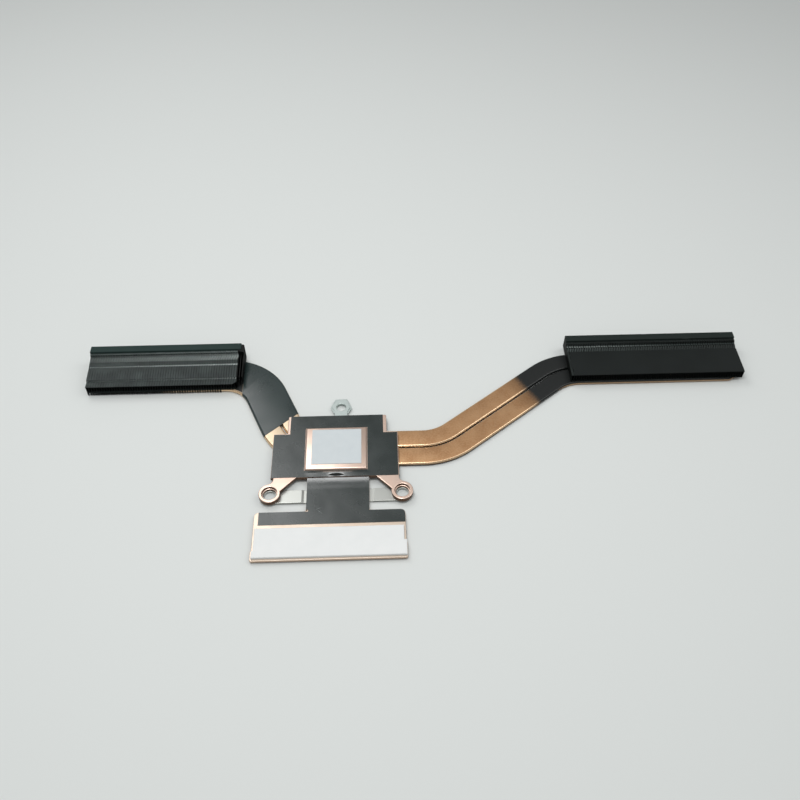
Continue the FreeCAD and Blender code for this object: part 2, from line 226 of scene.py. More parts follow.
# %% [markdown]
# ## Plates, bar and lug
# These are hard stampings whose shape the CAD model already holds, down to the stepped rings. What it
# lacks is the small round that a press leaves on each upper edge, which is what catches the light; the
# lower edges stay sharp. A copy of the node's mesh is merged, its flat triangles are joined, and a Bevel
# rounds the edges that have been given a weight. A face that runs round a hole is first split by two
# seams, so that it stays a simple outline. The normals stored with the CAD mesh no longer fit the new
# faces, so they are taken off.

# %% Rounded copies of the stampings
SEAM_NORMALS = ((1.0, 0.8, 0.0), (1.0, -0.8, 0.0))
MERGE = 0.001
FLAT_DEGREES = 1
ROUNDED_DEGREES = 30
UPPER_COSINE = 0.5
ROUND_STEPS = 2
STAMPED_CREASE = 20
PLATE_ROUND = 0.2
SHEET_ROUND = 0.12


def split_by_plane(bm, point, normal, **options):
    """Cut a bmesh by a plane and return the edges of the cut."""
    geom = bm.verts[:] + bm.edges[:] + bm.faces[:]
    cut = bmesh.ops.bisect_plane(bm, geom=geom, plane_co=point, plane_no=normal, **options)
    return [edge for edge in cut["geom_cut"] if isinstance(edge, bmesh.types.BMEdge)]


def rounded_copy(node, width, holes=()):
    """A copy of a CAD node with its upper edges rounded by a width in millimetres."""
    bm = bmesh.new()
    bm.from_mesh(nodes[node].data)
    bmesh.ops.remove_doubles(bm, verts=bm.verts, dist=MERGE * MM)
    for place in holes:
        for normal in SEAM_NORMALS:
            for edge in split_by_plane(bm, Vector(place) * MM, normal):
                edge.seam = True
    bmesh.ops.dissolve_limit(bm, angle_limit=math.radians(FLAT_DEGREES), verts=bm.verts, edges=bm.edges,
                             delimit={"SEAM"})
    bmesh.ops.recalc_face_normals(bm, faces=bm.faces)
    weight = bm.edges.layers.float.new("bevel_weight_edge")
    sharp = math.radians(ROUNDED_DEGREES)
    for edge in bm.edges:
        upward = max(face.normal.z for face in edge.link_faces)
        if edge.is_convex and edge.calc_face_angle() > sharp and upward > UPPER_COSINE:
            edge[weight] = 1.0
    piece = object_from(node + "_rounded", bm, scale=1.0)
    piece.data.attributes.remove(piece.data.attributes["custom_normal"])
    bevel = piece.modifiers.new("Edges", "BEVEL")
    bevel.width = width * MM
    bevel.segments = ROUND_STEPS
    bevel.limit_method = "WEIGHT"
    bevel.use_clamp_overlap = False
    return shade(settle(piece), STAMPED_CREASE)


place_piece(rounded_copy("cold_plate", PLATE_ROUND), forged_copper, "forged_copper", "cold_plate")
place_piece(rounded_copy("vrm_plate", SHEET_ROUND), sheet_copper, "sheet_copper", "vrm_plate")

# %% Steel for the bar and the lug
ROLLED_OUT = 12.5
STEEL_ROUND = 0.1
RING_PLACES = ((-21.65, -17.3, 0), (21.25, -17.3, 0))
LUG_PLACES = ((1.0, 18.9, 0),)


def steel(name, colour, roughness, line):
    """Cold-rolled steel: a grey metal whose rolling lines, of a width in millimetres, run along X."""
    material, tree, where = new_material(name)
    drawn = add_node(tree, "ShaderNodeMapping", {
        "Vector": where, "Scale": (1 / ROLLED_OUT, 1.0, 1.0)}).outputs["Vector"]
    streaks = add_node(tree, "ShaderNodeTexNoise", {
        "Vector": drawn, "Scale": grain(line), "Detail": 3.0}).outputs["Fac"]
    rough = add_node(tree, "ShaderNodeMapRange", {
        "Value": streaks, "To Min": roughness - 0.1, "To Max": roughness + 0.1}).outputs["Result"]
    bump = add_node(tree, "ShaderNodeBump", {
        "Height": streaks, "Strength": 0.2, "Distance": 0.02 * MM}).outputs["Normal"]
    return end_material(material, {
        "Base Color": linear(colour), "Metallic": 1.0, "Roughness": rough, "Normal": bump})


# The rolling lines of both steels are drawn coarser than real ones, so that they show.
# Spring steel: bright and even, from polished rolls.
spring_steel = steel("spring steel strip", "#BDBFBA", roughness=0.38, line=0.25)
# Stamped steel: a little greyer, plated after stamping.
stamped_steel = steel("plated stamped steel", "#C2CCC9", roughness=0.45, line=0.35)
place_piece(rounded_copy("spring_bar", STEEL_ROUND, RING_PLACES), spring_steel, "bar_steel", "spring_bar")
place_piece(rounded_copy("rear_lug", STEEL_ROUND, LUG_PLACES), stamped_steel, "lug_steel", "rear_lug")

# %% [markdown]
# ## The heat pipes
# A heat pipe starts as a round copper tube. It is bent in one plane and pressed flat, so its section is
# a flat strip with two half-round edges, and its tips are pinched shut. It follows a path, so Geometry
# Nodes sweep the section along a route of straight runs and arcs, and the route's radius thins the tips.

# %% The route of the pipe pair
BEND_STEP = 3.0
PIPE_WIDTH = 7.0
PIPE_THICKNESS = 1.5
PIPE_GAP = 0.4
PIPE_MIDDLE = -2.75
LANE_LEFT = 35.65
LANE_PLATE = 0.85
LANE_RIGHT = 34.85
LEFT_BEND_X = -40.735
MIDDLE_RUN = 31.9
RIGHT_RETURN_X = 86.859
LEFT_BEND = (66.5, 16.4, 18.0)
RIGHT_BEND = (37.4, 20.0, 20.0)


def sidestep(shift, degrees, first_radius, second_radius):
    """Legs that move a pipe sideways: a bend, a straight run and the opposite bend."""
    turn = math.radians(degrees)
    run = (abs(shift) - (first_radius + second_radius) * (1 - math.cos(turn))) / math.sin(turn)
    bend = math.copysign(degrees, shift)
    return [(first_radius, bend), (0, run), (second_radius, -bend)]


def walk(x, y, legs):
    """Stations (x, y, heading) along bends (radius, degrees) and straight runs (0, length)."""
    heading = 0.0
    stations = [(x, y, heading)]
    for radius, amount in legs:
        if radius == 0:
            x += amount * math.cos(heading)
            y += amount * math.sin(heading)
            stations.append((x, y, heading))
            continue
        steps = math.ceil(abs(amount) / BEND_STEP)
        side = math.copysign(radius, amount)
        for _ in range(steps):
            after = heading + math.radians(amount) / steps
            x += side * (math.sin(after) - math.sin(heading))
            y -= side * (math.cos(after) - math.cos(heading))
            heading = after
            stations.append((x, y, heading))
    return stations


pipe_low, pipe_high = box_mm("rear_heat_pipe")
left_legs = sidestep(LANE_PLATE - LANE_LEFT, *LEFT_BEND)
right_legs = sidestep(LANE_RIGHT - LANE_PLATE, *RIGHT_BEND)
first_run = (0, LEFT_BEND_X - pipe_low.x)
last_run = (0, pipe_high.x - RIGHT_RETURN_X)
route = walk(pipe_low.x, LANE_LEFT, [first_run, *left_legs, (0, MIDDLE_RUN), *right_legs, last_run])
print("route of", len(route), "stations ends at", route[-1])

# %% Brown copper with black paint at one end
# Each band has an axis, the place where its effect starts and the place where it is full.
PIPE_BANDS = {
    "rim": ("Z", -2.0, -2.08), "before_fins": ("X", 82.0, 78.0), "rear": ("Y", 30.5, 31.5),
    "top": ("Z", -2.55, -2.30), "left_end": ("X", -58.0, -64.0), "left_fins": ("X", -34.25, -34.4)}
TARNISH_SIZE = 6.0
# The grain of a drawn tube is too fine to show, so this one is drawn coarser.
TUBE_GRAIN = 0.7
HEAT_X = (-15.0, 22.0)
LEAST_HEAT = 0.2
DARK_SIDE_Z = (-2.3, -2.6)
PAINT_EDGE = (66.5, 25.4)
PAINT_NORMAL = (0.864, 0.503, 0.0)
PAINT_FADE = 1.8
PAINT_HAZE = 7.0
PAINT_SPECKLE = 2.0


def heated_copper(tree, where, axes, fine, bands):
    """Copper colour: browned by heat to the right, with rims painted brighter as a painted highlight, and
    the lower sides darker as painted shade.
    """
    heat = add_node(tree, "ShaderNodeMapRange", {
        "Value": axes["X"], "From Min": HEAT_X[0] * MM, "From Max": HEAT_X[1] * MM,
        "To Min": LEAST_HEAT}).outputs["Result"]
    clouds = add_node(tree, "ShaderNodeTexNoise", {
        "Vector": where, "Scale": grain(TARNISH_SIZE), "Detail": 5.0})
    tarnish = add_node(tree, "ShaderNodeMath", {0: clouds.outputs["Fac"], 1: fine}, operation="MULTIPLY")
    spots = add_node(tree, "ShaderNodeMapRange", {
        "Value": tarnish.outputs["Value"], "From Min": 0.15, "From Max": 0.4, "To Max": 0.7})
    brown = add_node(tree, "ShaderNodeMix", {
        0: spots.outputs["Result"], 6: linear("#D0A77E"), 7: linear("#A87C56")}, data_type="RGBA")
    dull = add_node(tree, "ShaderNodeMix", {
        0: heat, 6: linear("#E9D8BE"), 7: brown.outputs[2]}, data_type="RGBA")
    # The rims are painted brighter as a painted highlight.
    rim_highlight = add_node(tree, "ShaderNodeMix", {
        0: bands["rim"], 6: dull.outputs[2], 7: linear("#F6D6B0")}, data_type="RGBA")
    # Low on the sides the colour turns dark brown as painted shade, up to the fins.
    deep = add_node(tree, "ShaderNodeMapRange", {
        "Value": axes["Z"], "From Min": DARK_SIDE_Z[0] * MM, "From Max": DARK_SIDE_Z[1] * MM,
        "To Max": heat})
    shaded_low_side = add_node(tree, "ShaderNodeMath", {
        0: deep.outputs["Result"], 1: bands["before_fins"]}, operation="MULTIPLY")
    return add_node(tree, "ShaderNodeMix", {
        0: shaded_low_side.outputs["Value"], 6: rim_highlight.outputs[2], 7: linear("#4A3322")},
        data_type="RGBA").outputs[2]


def sprayed_paint(tree, where, fine, bands):
    """How much black lies on the pipe, and how far a thin haze of it reaches."""
    edge = sum(a * b for a, b in zip(PAINT_EDGE, PAINT_NORMAL)) + PAINT_SPECKLE / 2
    reach = add_node(tree, "ShaderNodeVectorMath", {
        0: where, 1: PAINT_NORMAL}, operation="DOT_PRODUCT").outputs["Value"]
    haze = add_node(tree, "ShaderNodeMapRange", {
        "Value": reach, "From Min": (edge - PAINT_HAZE) * MM, "From Max": edge * MM, "To Max": 0.7})
    ragged = add_node(tree, "ShaderNodeMath", {
        0: fine, 1: PAINT_SPECKLE * MM, 2: reach}, operation="MULTIPLY_ADD")
    sprayed = add_node(tree, "ShaderNodeMapRange", {
        "Value": ragged.outputs["Value"], "From Min": (edge - PAINT_FADE) * MM,
        "From Max": (edge + PAINT_FADE) * MM}, interpolation_type="SMOOTHSTEP")
    # Under the left fins the pipe's flat top is painted black as painted shade.
    flat = add_node(tree, "ShaderNodeMath", {
        0: bands["left_fins"], 1: bands["rim"]}, operation="SUBTRACT", use_clamp=True)
    paint = bands["before_fins"]
    for operation, other in (("MAXIMUM", bands["rear"]), ("MAXIMUM", bands["top"]),
                             ("MULTIPLY", sprayed.outputs["Result"]), ("MAXIMUM", bands["left_end"]),
                             ("MAXIMUM", flat.outputs["Value"])):
        paint = add_node(tree, "ShaderNodeMath", {0: other, 1: paint}, operation=operation).outputs["Value"]
    return paint, haze.outputs["Result"]


def pipe_finish():
    """Drawn copper tube, satin and grainy. The right end is sprayed matt black from above, so the paint
    has a soft, hazy edge and leaves the front side bare beside the fins. Under the left fins the pipe is
    black at its left end, and its flat top there is black as painted shade."""
    material, tree, where = new_material("drawn copper tube")
    axes = add_node(tree, "ShaderNodeSeparateXYZ", {"Vector": where}).outputs
    fine = add_node(tree, "ShaderNodeTexNoise", {
        "Vector": where, "Scale": grain(TUBE_GRAIN), "Detail": 4.0}).outputs["Fac"]
    bands = {}
    for band, (axis, start, full) in PIPE_BANDS.items():
        bands[band] = add_node(tree, "ShaderNodeMapRange", {
            "Value": axes[axis], "From Min": start * MM, "From Max": full * MM}).outputs["Result"]
    bare = heated_copper(tree, where, axes, fine, bands)
    paint, haze = sprayed_paint(tree, where, fine, bands)
    hazy = add_node(tree, "ShaderNodeMix", {0: haze, 6: bare, 7: linear("#7D5F45")}, data_type="RGBA")
    colour = add_node(tree, "ShaderNodeMix", {
        0: paint, 6: hazy.outputs[2], 7: linear("#0B100F")}, data_type="RGBA")
    metal = add_node(tree, "ShaderNodeMath", {0: 1.0, 1: paint}, operation="SUBTRACT")
    rough = add_node(tree, "ShaderNodeMapRange", {
        "Value": fine, "From Min": NOISE_LOW, "From Max": NOISE_HIGH, "To Min": 0.38, "To Max": 0.52})
    polish = add_node(tree, "ShaderNodeMapRange", {"Value": bands["rim"], "To Min": 1.0, "To Max": 0.55})
    satin = add_node(tree, "ShaderNodeMath", {
        0: rough.outputs["Result"], 1: polish.outputs["Result"]}, operation="MULTIPLY")
    bump = add_node(tree, "ShaderNodeBump", {"Height": fine, "Strength": 0.3, "Distance": 0.04 * MM})
    return end_material(material, {
        "Base Color": colour.outputs[2], "Metallic": metal.outputs["Value"],
        "Roughness": satin.outputs["Value"], "Normal": bump.outputs["Normal"]})


# Drawn copper: a warm satin brown with a painted highlight along its rims, ending in dead black.
pipe_copper = pipe_finish()
print("pipe copper ready")

# %% A tree that sweeps a pressed tube


def new_tree(name, inputs):
    """A geometry tree with named inputs; returns it with its input node's outputs."""
    tree = bpy.data.node_groups.new(name, "GeometryNodeTree")
    tree.interface.new_socket("Geometry", in_out="OUTPUT", socket_type="NodeSocketGeometry")
    for label, kind in inputs.items():
        tree.interface.new_socket(label, in_out="INPUT", socket_type="NodeSocket" + kind)
    return tree, add_node(tree, "NodeGroupInput").outputs


def end_tree(tree, shape, material):
    """End a geometry tree with real geometry in one material."""
    real = add_node(tree, "GeometryNodeRealizeInstances", {"Geometry": shape}).outputs["Geometry"]
    coat = add_node(tree, "GeometryNodeSetMaterial", {"Geometry": real, "Material": material})
    add_node(tree, "NodeGroupOutput", {"Geometry": coat.outputs["Geometry"]})
    return tree


def grow(name, tree, values):
    """Run a geometry tree with these inputs and keep the result as a plain mesh object."""
    piece = bpy.data.objects.new(name, bpy.data.meshes.new(name))
    scene.collection.objects.link(piece)
    maker = piece.modifiers.new("Maker", "NODES")
    maker.node_group = tree
    for item in tree.interface.items_tree:
        if item.in_out == "INPUT":
            maker[item.identifier] = values[item.name]
    return settle(piece)


def tube_tree():
    """Sweep a strip with half-round edges along a curve object."""
    tree, given = new_tree("Pressed tube", {"Route": "Object", "Width": "Float", "Thickness": "Float",
                                            "Edge": "Float", "Edge steps": "Int", "Material": "Material"})
    curve = add_node(tree, "GeometryNodeObjectInfo", {"Object": given["Route"]})
    level = add_node(tree, "GeometryNodeSetCurveNormal", {"Curve": curve.outputs["Geometry"]}, mode="Z_UP")
    strip = add_node(tree, "GeometryNodeCurvePrimitiveQuadrilateral",
                     {"Width": given["Width"], "Height": given["Thickness"]})
    section = add_node(tree, "GeometryNodeFilletCurve",
                       {"Curve": strip.outputs["Curve"], "Count": given["Edge steps"],
                        "Radius": given["Edge"], "Limit Radius": True}, mode="POLY")
    pinch = add_node(tree, "GeometryNodeInputRadius")
    tube = add_node(tree, "GeometryNodeCurveToMesh",
                    {"Curve": level.outputs["Curve"], "Profile Curve": section.outputs["Curve"],
                     "Scale": pinch.outputs["Radius"], "Fill Caps": True})
    return end_tree(tree, tube.outputs["Mesh"], given["Material"])


pressed_tube = tube_tree()
print("tube tree with", len(pressed_tube.nodes), "nodes")

# %% Both pipes
# The pinch gives shares of the tip's length, and of the full section there.
TIP_LENGTH = 3.0
TIP_PINCH = ((0.0, 0.58), (0.15, 0.62), (0.45, 0.76), (0.75, 0.93), (1.0, 1.0))
EDGE_STEPS = 6
TUBE_MERGE = 0.002
TUBE_CREASE = 50


def pipe_route(name, offset):
    """A curve object beside the middle of the pair, thinner at its two tips."""
    points = [(route[0][0] + along * TIP_LENGTH, route[0][1] + offset, size) for along, size in TIP_PINCH]
    for x, y, heading in route[1:-1]:
        points.append((x - offset * math.sin(heading), y + offset * math.cos(heading), 1.0))
    for along, size in reversed(TIP_PINCH):
        points.append((route[-1][0] - along * TIP_LENGTH, route[-1][1] + offset, size))
    data = bpy.data.curves.new(name, "CURVE")
    data.dimensions = "3D"
    spline = data.splines.new("POLY")
    spline.points.add(len(points) - 1)
    for point, (x, y, size) in zip(spline.points, points):
        point.co = (x * MM, y * MM, PIPE_MIDDLE * MM, 1.0)
        point.radius = size
    line = bpy.data.objects.new(name, data)
    scene.collection.objects.link(line)
    return line


def reshape(piece, change):
    """Let a function change a piece's mesh as a bmesh, and turn its faces outward."""
    bm = bmesh.new()
    bm.from_mesh(piece.data)
    change(bm)
    bmesh.ops.recalc_face_normals(bm, faces=bm.faces)
    bm.to_mesh(piece.data)
    bm.free()
    return piece


def heat_pipe(node, side):
    """One swept pipe in place of its CAD node."""
    line = pipe_route(node + "_route", side * (PIPE_WIDTH + PIPE_GAP) / 2)
    pipe = grow(node + "_tube", pressed_tube, {
        "Route": line, "Width": PIPE_WIDTH * MM, "Thickness": PIPE_THICKNESS * MM,
        "Edge": PIPE_THICKNESS / 2 * MM, "Edge steps": EDGE_STEPS, "Material": pipe_copper})
    bpy.data.objects.remove(line)
    reshape(pipe, lambda bm: bmesh.ops.remove_doubles(bm, verts=bm.verts, dist=TUBE_MERGE * MM))
    place_piece(shade(pipe, TUBE_CREASE), pipe_copper, "pipe_copper", node)


heat_pipe("rear_heat_pipe", 1)
heat_pipe("front_heat_pipe", -1)

# %% [markdown]
# ## Black film
# A thin black polyester film insulates the plate, the neck and the left pipes from the board. It is a
# smooth dielectric, so it is black from above and silvery where it mirrors a lamp. It never lies dead
# flat: slow waves and a fine orange peel break its reflections up.

# %% Polyester film
DUST_SIZE = 9.0
# The orange peel of a film is too fine to show, so this one is drawn coarser.
PEEL_SIZE = 0.5


def film_finish(name, colour, dusty, shine, roughness, wave):
    """A satin black skin, with waves of a size in millimetres and a fine orange peel."""
    material, tree, where = new_material(name)
    dust = add_node(tree, "ShaderNodeTexNoise", {
        "Vector": where, "Scale": grain(DUST_SIZE), "Detail": 6.0}).outputs["Fac"]
    tint = add_node(tree, "ShaderNodeMix", {
        0: dust, 6: linear(colour), 7: linear(dusty)}, data_type="RGBA").outputs[2]
    rough = add_node(tree, "ShaderNodeMapRange", {
        "Value": dust, "From Min": NOISE_LOW, "From Max": NOISE_HIGH,
        "To Min": roughness - 0.05, "To Max": roughness + 0.05}).outputs["Result"]
    waves = add_node(tree, "ShaderNodeTexNoise", {"Vector": where, "Scale": grain(wave), "Detail": 1.0})
    slow = add_node(tree, "ShaderNodeBump", {
        "Height": waves.outputs["Fac"], "Strength": 0.5, "Distance": 0.2 * MM})
    peel = add_node(tree, "ShaderNodeTexNoise", {"Vector": where, "Scale": grain(PEEL_SIZE), "Detail": 2.0})
    fine = add_node(tree, "ShaderNodeBump", {
        "Height": peel.outputs["Fac"], "Strength": 0.15, "Distance": 0.03 * MM,
        "Normal": slow.outputs["Normal"]})
    return end_material(material, {
        "Base Color": tint, "Roughness": rough, "Specular IOR Level": shine,
        "Normal": fine.outputs["Normal"]})


# On the plate and the neck: a glossy film that turns from black to silver under the lamp.
plate_black = film_finish("black polyester film", "#101D1B", "#182725", shine=0.95, roughness=0.27,
                          wave=9.0)
# On the pipes: a film with less gloss and a slate tint.
pipe_black = film_finish("black polyester pipe film", "#162625", "#203231", shine=0.75, roughness=0.3,
                         wave=12.0)
print("films ready")

# %% [markdown]
# ## Flat pieces on a grid
# Films, pads and foam strips are flat sheets with windows, notches and small swellings. A grid of lines
# that passes through every edge gives each of them: a cell is kept or left out, and two functions say
# where the top and the bottom of each crossing are. The result is always closed.

# %% Helpers for gridded slabs


def lines(stops, step):
    """Grid lines through every stop, no further apart than a step."""
    marks = [stops[0]]
    for low, high in zip(stops, stops[1:]):
        count = max(1, math.ceil((high - low) / step))
        marks += [low + (high - low) * k / count for k in range(1, count + 1)]
    return marks


def everywhere(x, y):
    """Keep every cell of a grid."""
    return True


def lowered(top, depth):
    """The lower side of a sheet, at an even depth under its upper side."""

    def bottom(x, y):
        x, y, z = top(x, y)
        return x, y, z - depth

    return bottom


def grid_slab(name, xs, ys, top, bottom, keep=everywhere):
    """A closed slab on a grid: top and bottom turn a crossing into a point, keep chooses the cells."""
    bm = bmesh.new()
    places = [(i, j) for i in range(len(xs)) for j in range(len(ys))]
    upper = {(i, j): bm.verts.new(top(xs[i], ys[j])) for i, j in places}
    lower = {(i, j): bm.verts.new(bottom(xs[i], ys[j])) for i, j in places}
    kept = [(i, j) for i, j in places if i + 1 < len(xs) and j + 1 < len(ys)
            and keep((xs[i] + xs[i + 1]) / 2, (ys[j] + ys[j + 1]) / 2)]
    filled = set(kept)
    for i, j in kept:
        corners = [(i, j), (i + 1, j), (i + 1, j + 1), (i, j + 1)]
        bm.faces.new([upper[c] for c in corners])
        bm.faces.new([lower[c] for c in reversed(corners)])
        for side, beside in enumerate(((i, j - 1), (i + 1, j), (i, j + 1), (i - 1, j))):
            if beside not in filled:
                a, b = corners[side], corners[(side + 1) % 4]
                bm.faces.new((upper[b], upper[a], lower[a], lower[b]))
    bmesh.ops.delete(bm, geom=[v for v in bm.verts if not v.link_faces], context="VERTS")
    return object_from(name, bm)


def swell(along, width):
    """A smooth bump: one in the middle and zero from the width outwards."""
    return max(0.0, 1 - (along / width) ** 2) ** 2


print("grid helpers ready")

# %% [markdown]
# ## Film on the cold plate
# The film has a window for the pedestal and follows the plate's rear notches. Along the front it has
# come loose: it rises to a low ridge and falls towards the front edge, with a small lens-shaped slit in
# that slope. The slit is two grid lines that are pushed apart, so its edges stay smooth. A dark patch on
# the plate under the slit is painted shade, so that the slit looks dark.

# %% Plate film
FILM = 0.1
FILM_RIGHT = 20.2
FILM_STEP = 0.5
COARSE_STEP = 2.5
FILM_CREASE = 40
NOTCH_Y = 6.3
NOTCH_X = (-16.1, 15.5)
WINDOW_X = (-10.8, 10.1)
WINDOW_Y = (-8.95, 8.75)
RIDGE_X = 0.2
RIDGE_HALF = 10.6
RIDGE_Y = -9.9
RIDGE_LINES = (-10.4, -10.1, RIDGE_Y, -9.6, -9.3)
RIDGE_RISE = 0.4
SLIT_X = (-2.9, 2.4)
SLIT_LINES = (-11.0, -10.9)
SLIT_SHIFTS = dict(zip(SLIT_LINES, (-0.24, 0.4)))
film_low, film_high = box_mm("plate_film")


def plate_film_top(x, y):
    """The film's upper side, with the loose ridge and the opened slit."""
    rise = 0.0
    if RIDGE_Y <= y < WINDOW_Y[0]:
        rise = ((WINDOW_Y[0] - y) / (WINDOW_Y[0] - RIDGE_Y)) ** 2
    elif y < RIDGE_Y:
        rise = (y - film_low.y) / (RIDGE_Y - film_low.y)
    rise *= RIDGE_RISE * math.sqrt(swell(x - RIDGE_X, RIDGE_HALF))
    half = (SLIT_X[1] - SLIT_X[0]) / 2
    lens = math.sqrt(max(0.0, 1 - ((x - SLIT_X[0] - half) / half) ** 2))
    return x, y + SLIT_SHIFTS.get(y, 0.0) * lens, film_high.z + rise


def plate_film_cell(x, y):
    """True on the film: not in the notches, the window or the slit."""
    if y > NOTCH_Y and not NOTCH_X[0] < x < NOTCH_X[1]:
        return False
    if WINDOW_X[0] < x < WINDOW_X[1] and WINDOW_Y[0] < y < WINDOW_Y[1]:
        return False
    return not (SLIT_X[0] < x < SLIT_X[1] and SLIT_LINES[0] < y < SLIT_LINES[1])


film_xs = lines(sorted([film_low.x, *NOTCH_X, *WINDOW_X, *SLIT_X, FILM_RIGHT]), FILM_STEP)
film_ys = [film_low.y, *SLIT_LINES, *RIDGE_LINES]
film_ys += lines([WINDOW_Y[0], NOTCH_Y, WINDOW_Y[1], film_high.y], COARSE_STEP)
film = grid_slab("plate_film_sheet", film_xs, film_ys, plate_film_top, lowered(plate_film_top, FILM),
                 plate_film_cell)
place_piece(shade(film, FILM_CREASE), plate_black, "black_film", "plate_film")

# %% Painted shade under the slit
SHADE_PATCH_X = (-3.3, 2.8)
SHADE_PATCH_Y = (-11.4, -10.2)
SHADE_PATCH_STEPS = (0.6, 0.3)
SHADE_PATCH_SPREAD = (0.5, 0.3)
SHADE_PATCH_RISE = 0.04
SHADE_PATCH_EDGE = 0.3
# Painted shade: a dull near-black patch on the plate, so that the slit looks dark.
slit_shade_black = film_finish("painted shade under the slit", "#0B0C0C", "#121414", shine=0.3, roughness=0.7, wave=3.0)


def shade_patch_top(x, y):
    """A flat drop, thicker in its middle."""
    crown = SHADE_PATCH_RISE
    for place, ends, spread in ((x, SHADE_PATCH_X, SHADE_PATCH_SPREAD[0]), (y, SHADE_PATCH_Y, SHADE_PATCH_SPREAD[1])):
        middle = sum(ends) / 2
        crown *= swell(place - middle, ends[1] - middle + spread)
    return x, y, film_low.z + SHADE_PATCH_RISE * SHADE_PATCH_EDGE + (1 - SHADE_PATCH_EDGE) * crown


shade_patch = grid_slab("slit_glue", lines(SHADE_PATCH_X, SHADE_PATCH_STEPS[0]), lines(SHADE_PATCH_Y, SHADE_PATCH_STEPS[1]), shade_patch_top,
                 lambda x, y: (x, y, film_low.z))
place_piece(shade(shade_patch, FILM_CREASE), slit_shade_black, "black_film")

# %% [markdown]
# ## Film on the neck
# A second film covers the neck of the side plate and the rear of its wide end. Where it meets the cold
# plate it curls up, and that slope catches the lamp. A nick at the neck's left corner shows bare copper
# and a bright burr, and a scratch has raised two fine creases. One far corner is round, so the grid's
# square corner is pulled in to an arc.

# %% Neck film
NECK_X = (-9.7, 10.5)
NECK_Y = -23.9
NICK = (-9.0, -23.2)
CURL_Y = -15.8
CURL_RISE = 0.7
CURL_STEP = 0.4
CORNER = 1.4
CORNER_STEP = 0.2
CORNER_END = 1.001
neck_low, neck_high = box_mm("vrm_film")
corner_x, corner_y = neck_high.x - CORNER, NECK_Y - CORNER


def neck_film_top(x, y):
    """The film's upper side, with its curled rear end and its one round corner."""
    curl = CURL_RISE * max(0.0, (y - CURL_Y) / (neck_high.y - CURL_Y)) ** 2
    dx = (x - corner_x) / CORNER
    dy = (y - corner_y) / CORNER
    if dx > 0 and 0 < dy <= CORNER_END:
        pull = max(dx, dy) / math.hypot(dx, dy)
        x = corner_x + dx * pull * CORNER
        y = corner_y + dy * pull * CORNER
    return x, y, neck_high.z + curl


def neck_film_cell(x, y):
    """True on the film: on the neck or the wide end, but not in the nick."""
    if y > NECK_Y and not NECK_X[0] < x < NECK_X[1]:
        return False
    return not (x < NICK[0] and NECK_Y < y < NICK[1])


neck_xs = lines([neck_low.x, NECK_X[0], NICK[0], NECK_X[1], corner_x], COARSE_STEP)
neck_xs += lines([corner_x, neck_high.x], CORNER_STEP)[1:]
neck_ys = lines([neck_low.y, corner_y], COARSE_STEP) + lines([corner_y, NECK_Y], CORNER_STEP)[1:]
neck_ys += lines([NECK_Y, NICK[1], CURL_Y], COARSE_STEP)[1:] + lines([CURL_Y, neck_high.y], CURL_STEP)[1:]
film = grid_slab("neck_film_sheet", neck_xs, neck_ys, neck_film_top, lowered(neck_film_top, FILM),
                 neck_film_cell)
place_piece(shade(film, FILM_CREASE), plate_black, "black_film", "vrm_film")

# %% Creases in the neck film, and the burr
CREASE_MEET = (-6.6, -23.1)
CREASE_ENDS = ((-4.7, -22.6), (-4.0, -25.1))
CREASE_HALF = 0.09
CREASE_RISE = 0.06
CREASE_SUNK = 0.005
BURR_ENDS = ((-9.75, -23.8), (-9.15, -22.9))
BURR_HALF = 0.36
BURR_RISE = 0.6
SLIVER_FACES = ((0, 2, 4), (2, 1, 4), (1, 3, 4), (3, 0, 4), (0, 3, 1, 2))


def add_sliver(bm, start, end, half, rise, z):
    """A closed sliver between two points, widest and highest in its middle."""
    a, b = Vector((*start, z)), Vector((*end, z))
    side = (b - a).normalized().cross(Vector(UP)) * half
    middle = (a + b) / 2
    points = [bm.verts.new(p) for p in (a, b, middle + side, middle - side, middle + Vector(UP) * rise)]
    for face in SLIVER_FACES:
        bm.faces.new([points[k] for k in face])


# Scuffed film: pale grey scratches on the black.
scuffed_film = film_finish("scuffed polyester film", "#7C8483", "#8F9796", shine=0.5, roughness=0.45,
                           wave=2.0)
bm = bmesh.new()
for crease_end in CREASE_ENDS:
    add_sliver(bm, CREASE_MEET, crease_end, CREASE_HALF, CREASE_RISE, neck_high.z - CREASE_SUNK)
place_piece(object_from("neck_film_creases", bm), scuffed_film, "black_film")
bm = bmesh.new()
add_sliver(bm, *BURR_ENDS, BURR_HALF, BURR_RISE, neck_low.z)
place_piece(object_from("neck_burr", bm), sheet_copper, "sheet_copper")

# %% [markdown]
# ## Film round the left pipes
# This film is wrapped over both left pipes and folded down over their round edges. Its section is an
# open wrap of even thickness, swept along the same route as the pipes, then cut square at the fin stack
# and at a slant before the plate. The cuts are filled, so that the film is closed.

# %% Pipe film
WRAP_DEGREES = 95
WRAP_STEPS = 8
FILM_END_DEGREES = 41.0
left_low, left_high = box_mm("left_fin_stack")


def wrap_section():
    """Points (across, up) round a film of even thickness over both pipes."""
    radius = PIPE_THICKNESS / 2
    flat = PIPE_WIDTH + PIPE_GAP / 2 - radius
    turns = [math.radians(WRAP_DEGREES) * k / WRAP_STEPS for k in range(WRAP_STEPS + 1)]
    outer = [(flat + (radius + FILM) * math.sin(t), (radius + FILM) * math.cos(t)) for t in turns]
    inner = [(flat + radius * math.sin(t), radius * math.cos(t)) for t in reversed(turns)]
    mirrored_outer = [(-across, up) for across, up in reversed(outer)]
    mirrored_inner = [(-across, up) for across, up in reversed(inner)]
    return mirrored_outer + outer + inner + mirrored_inner


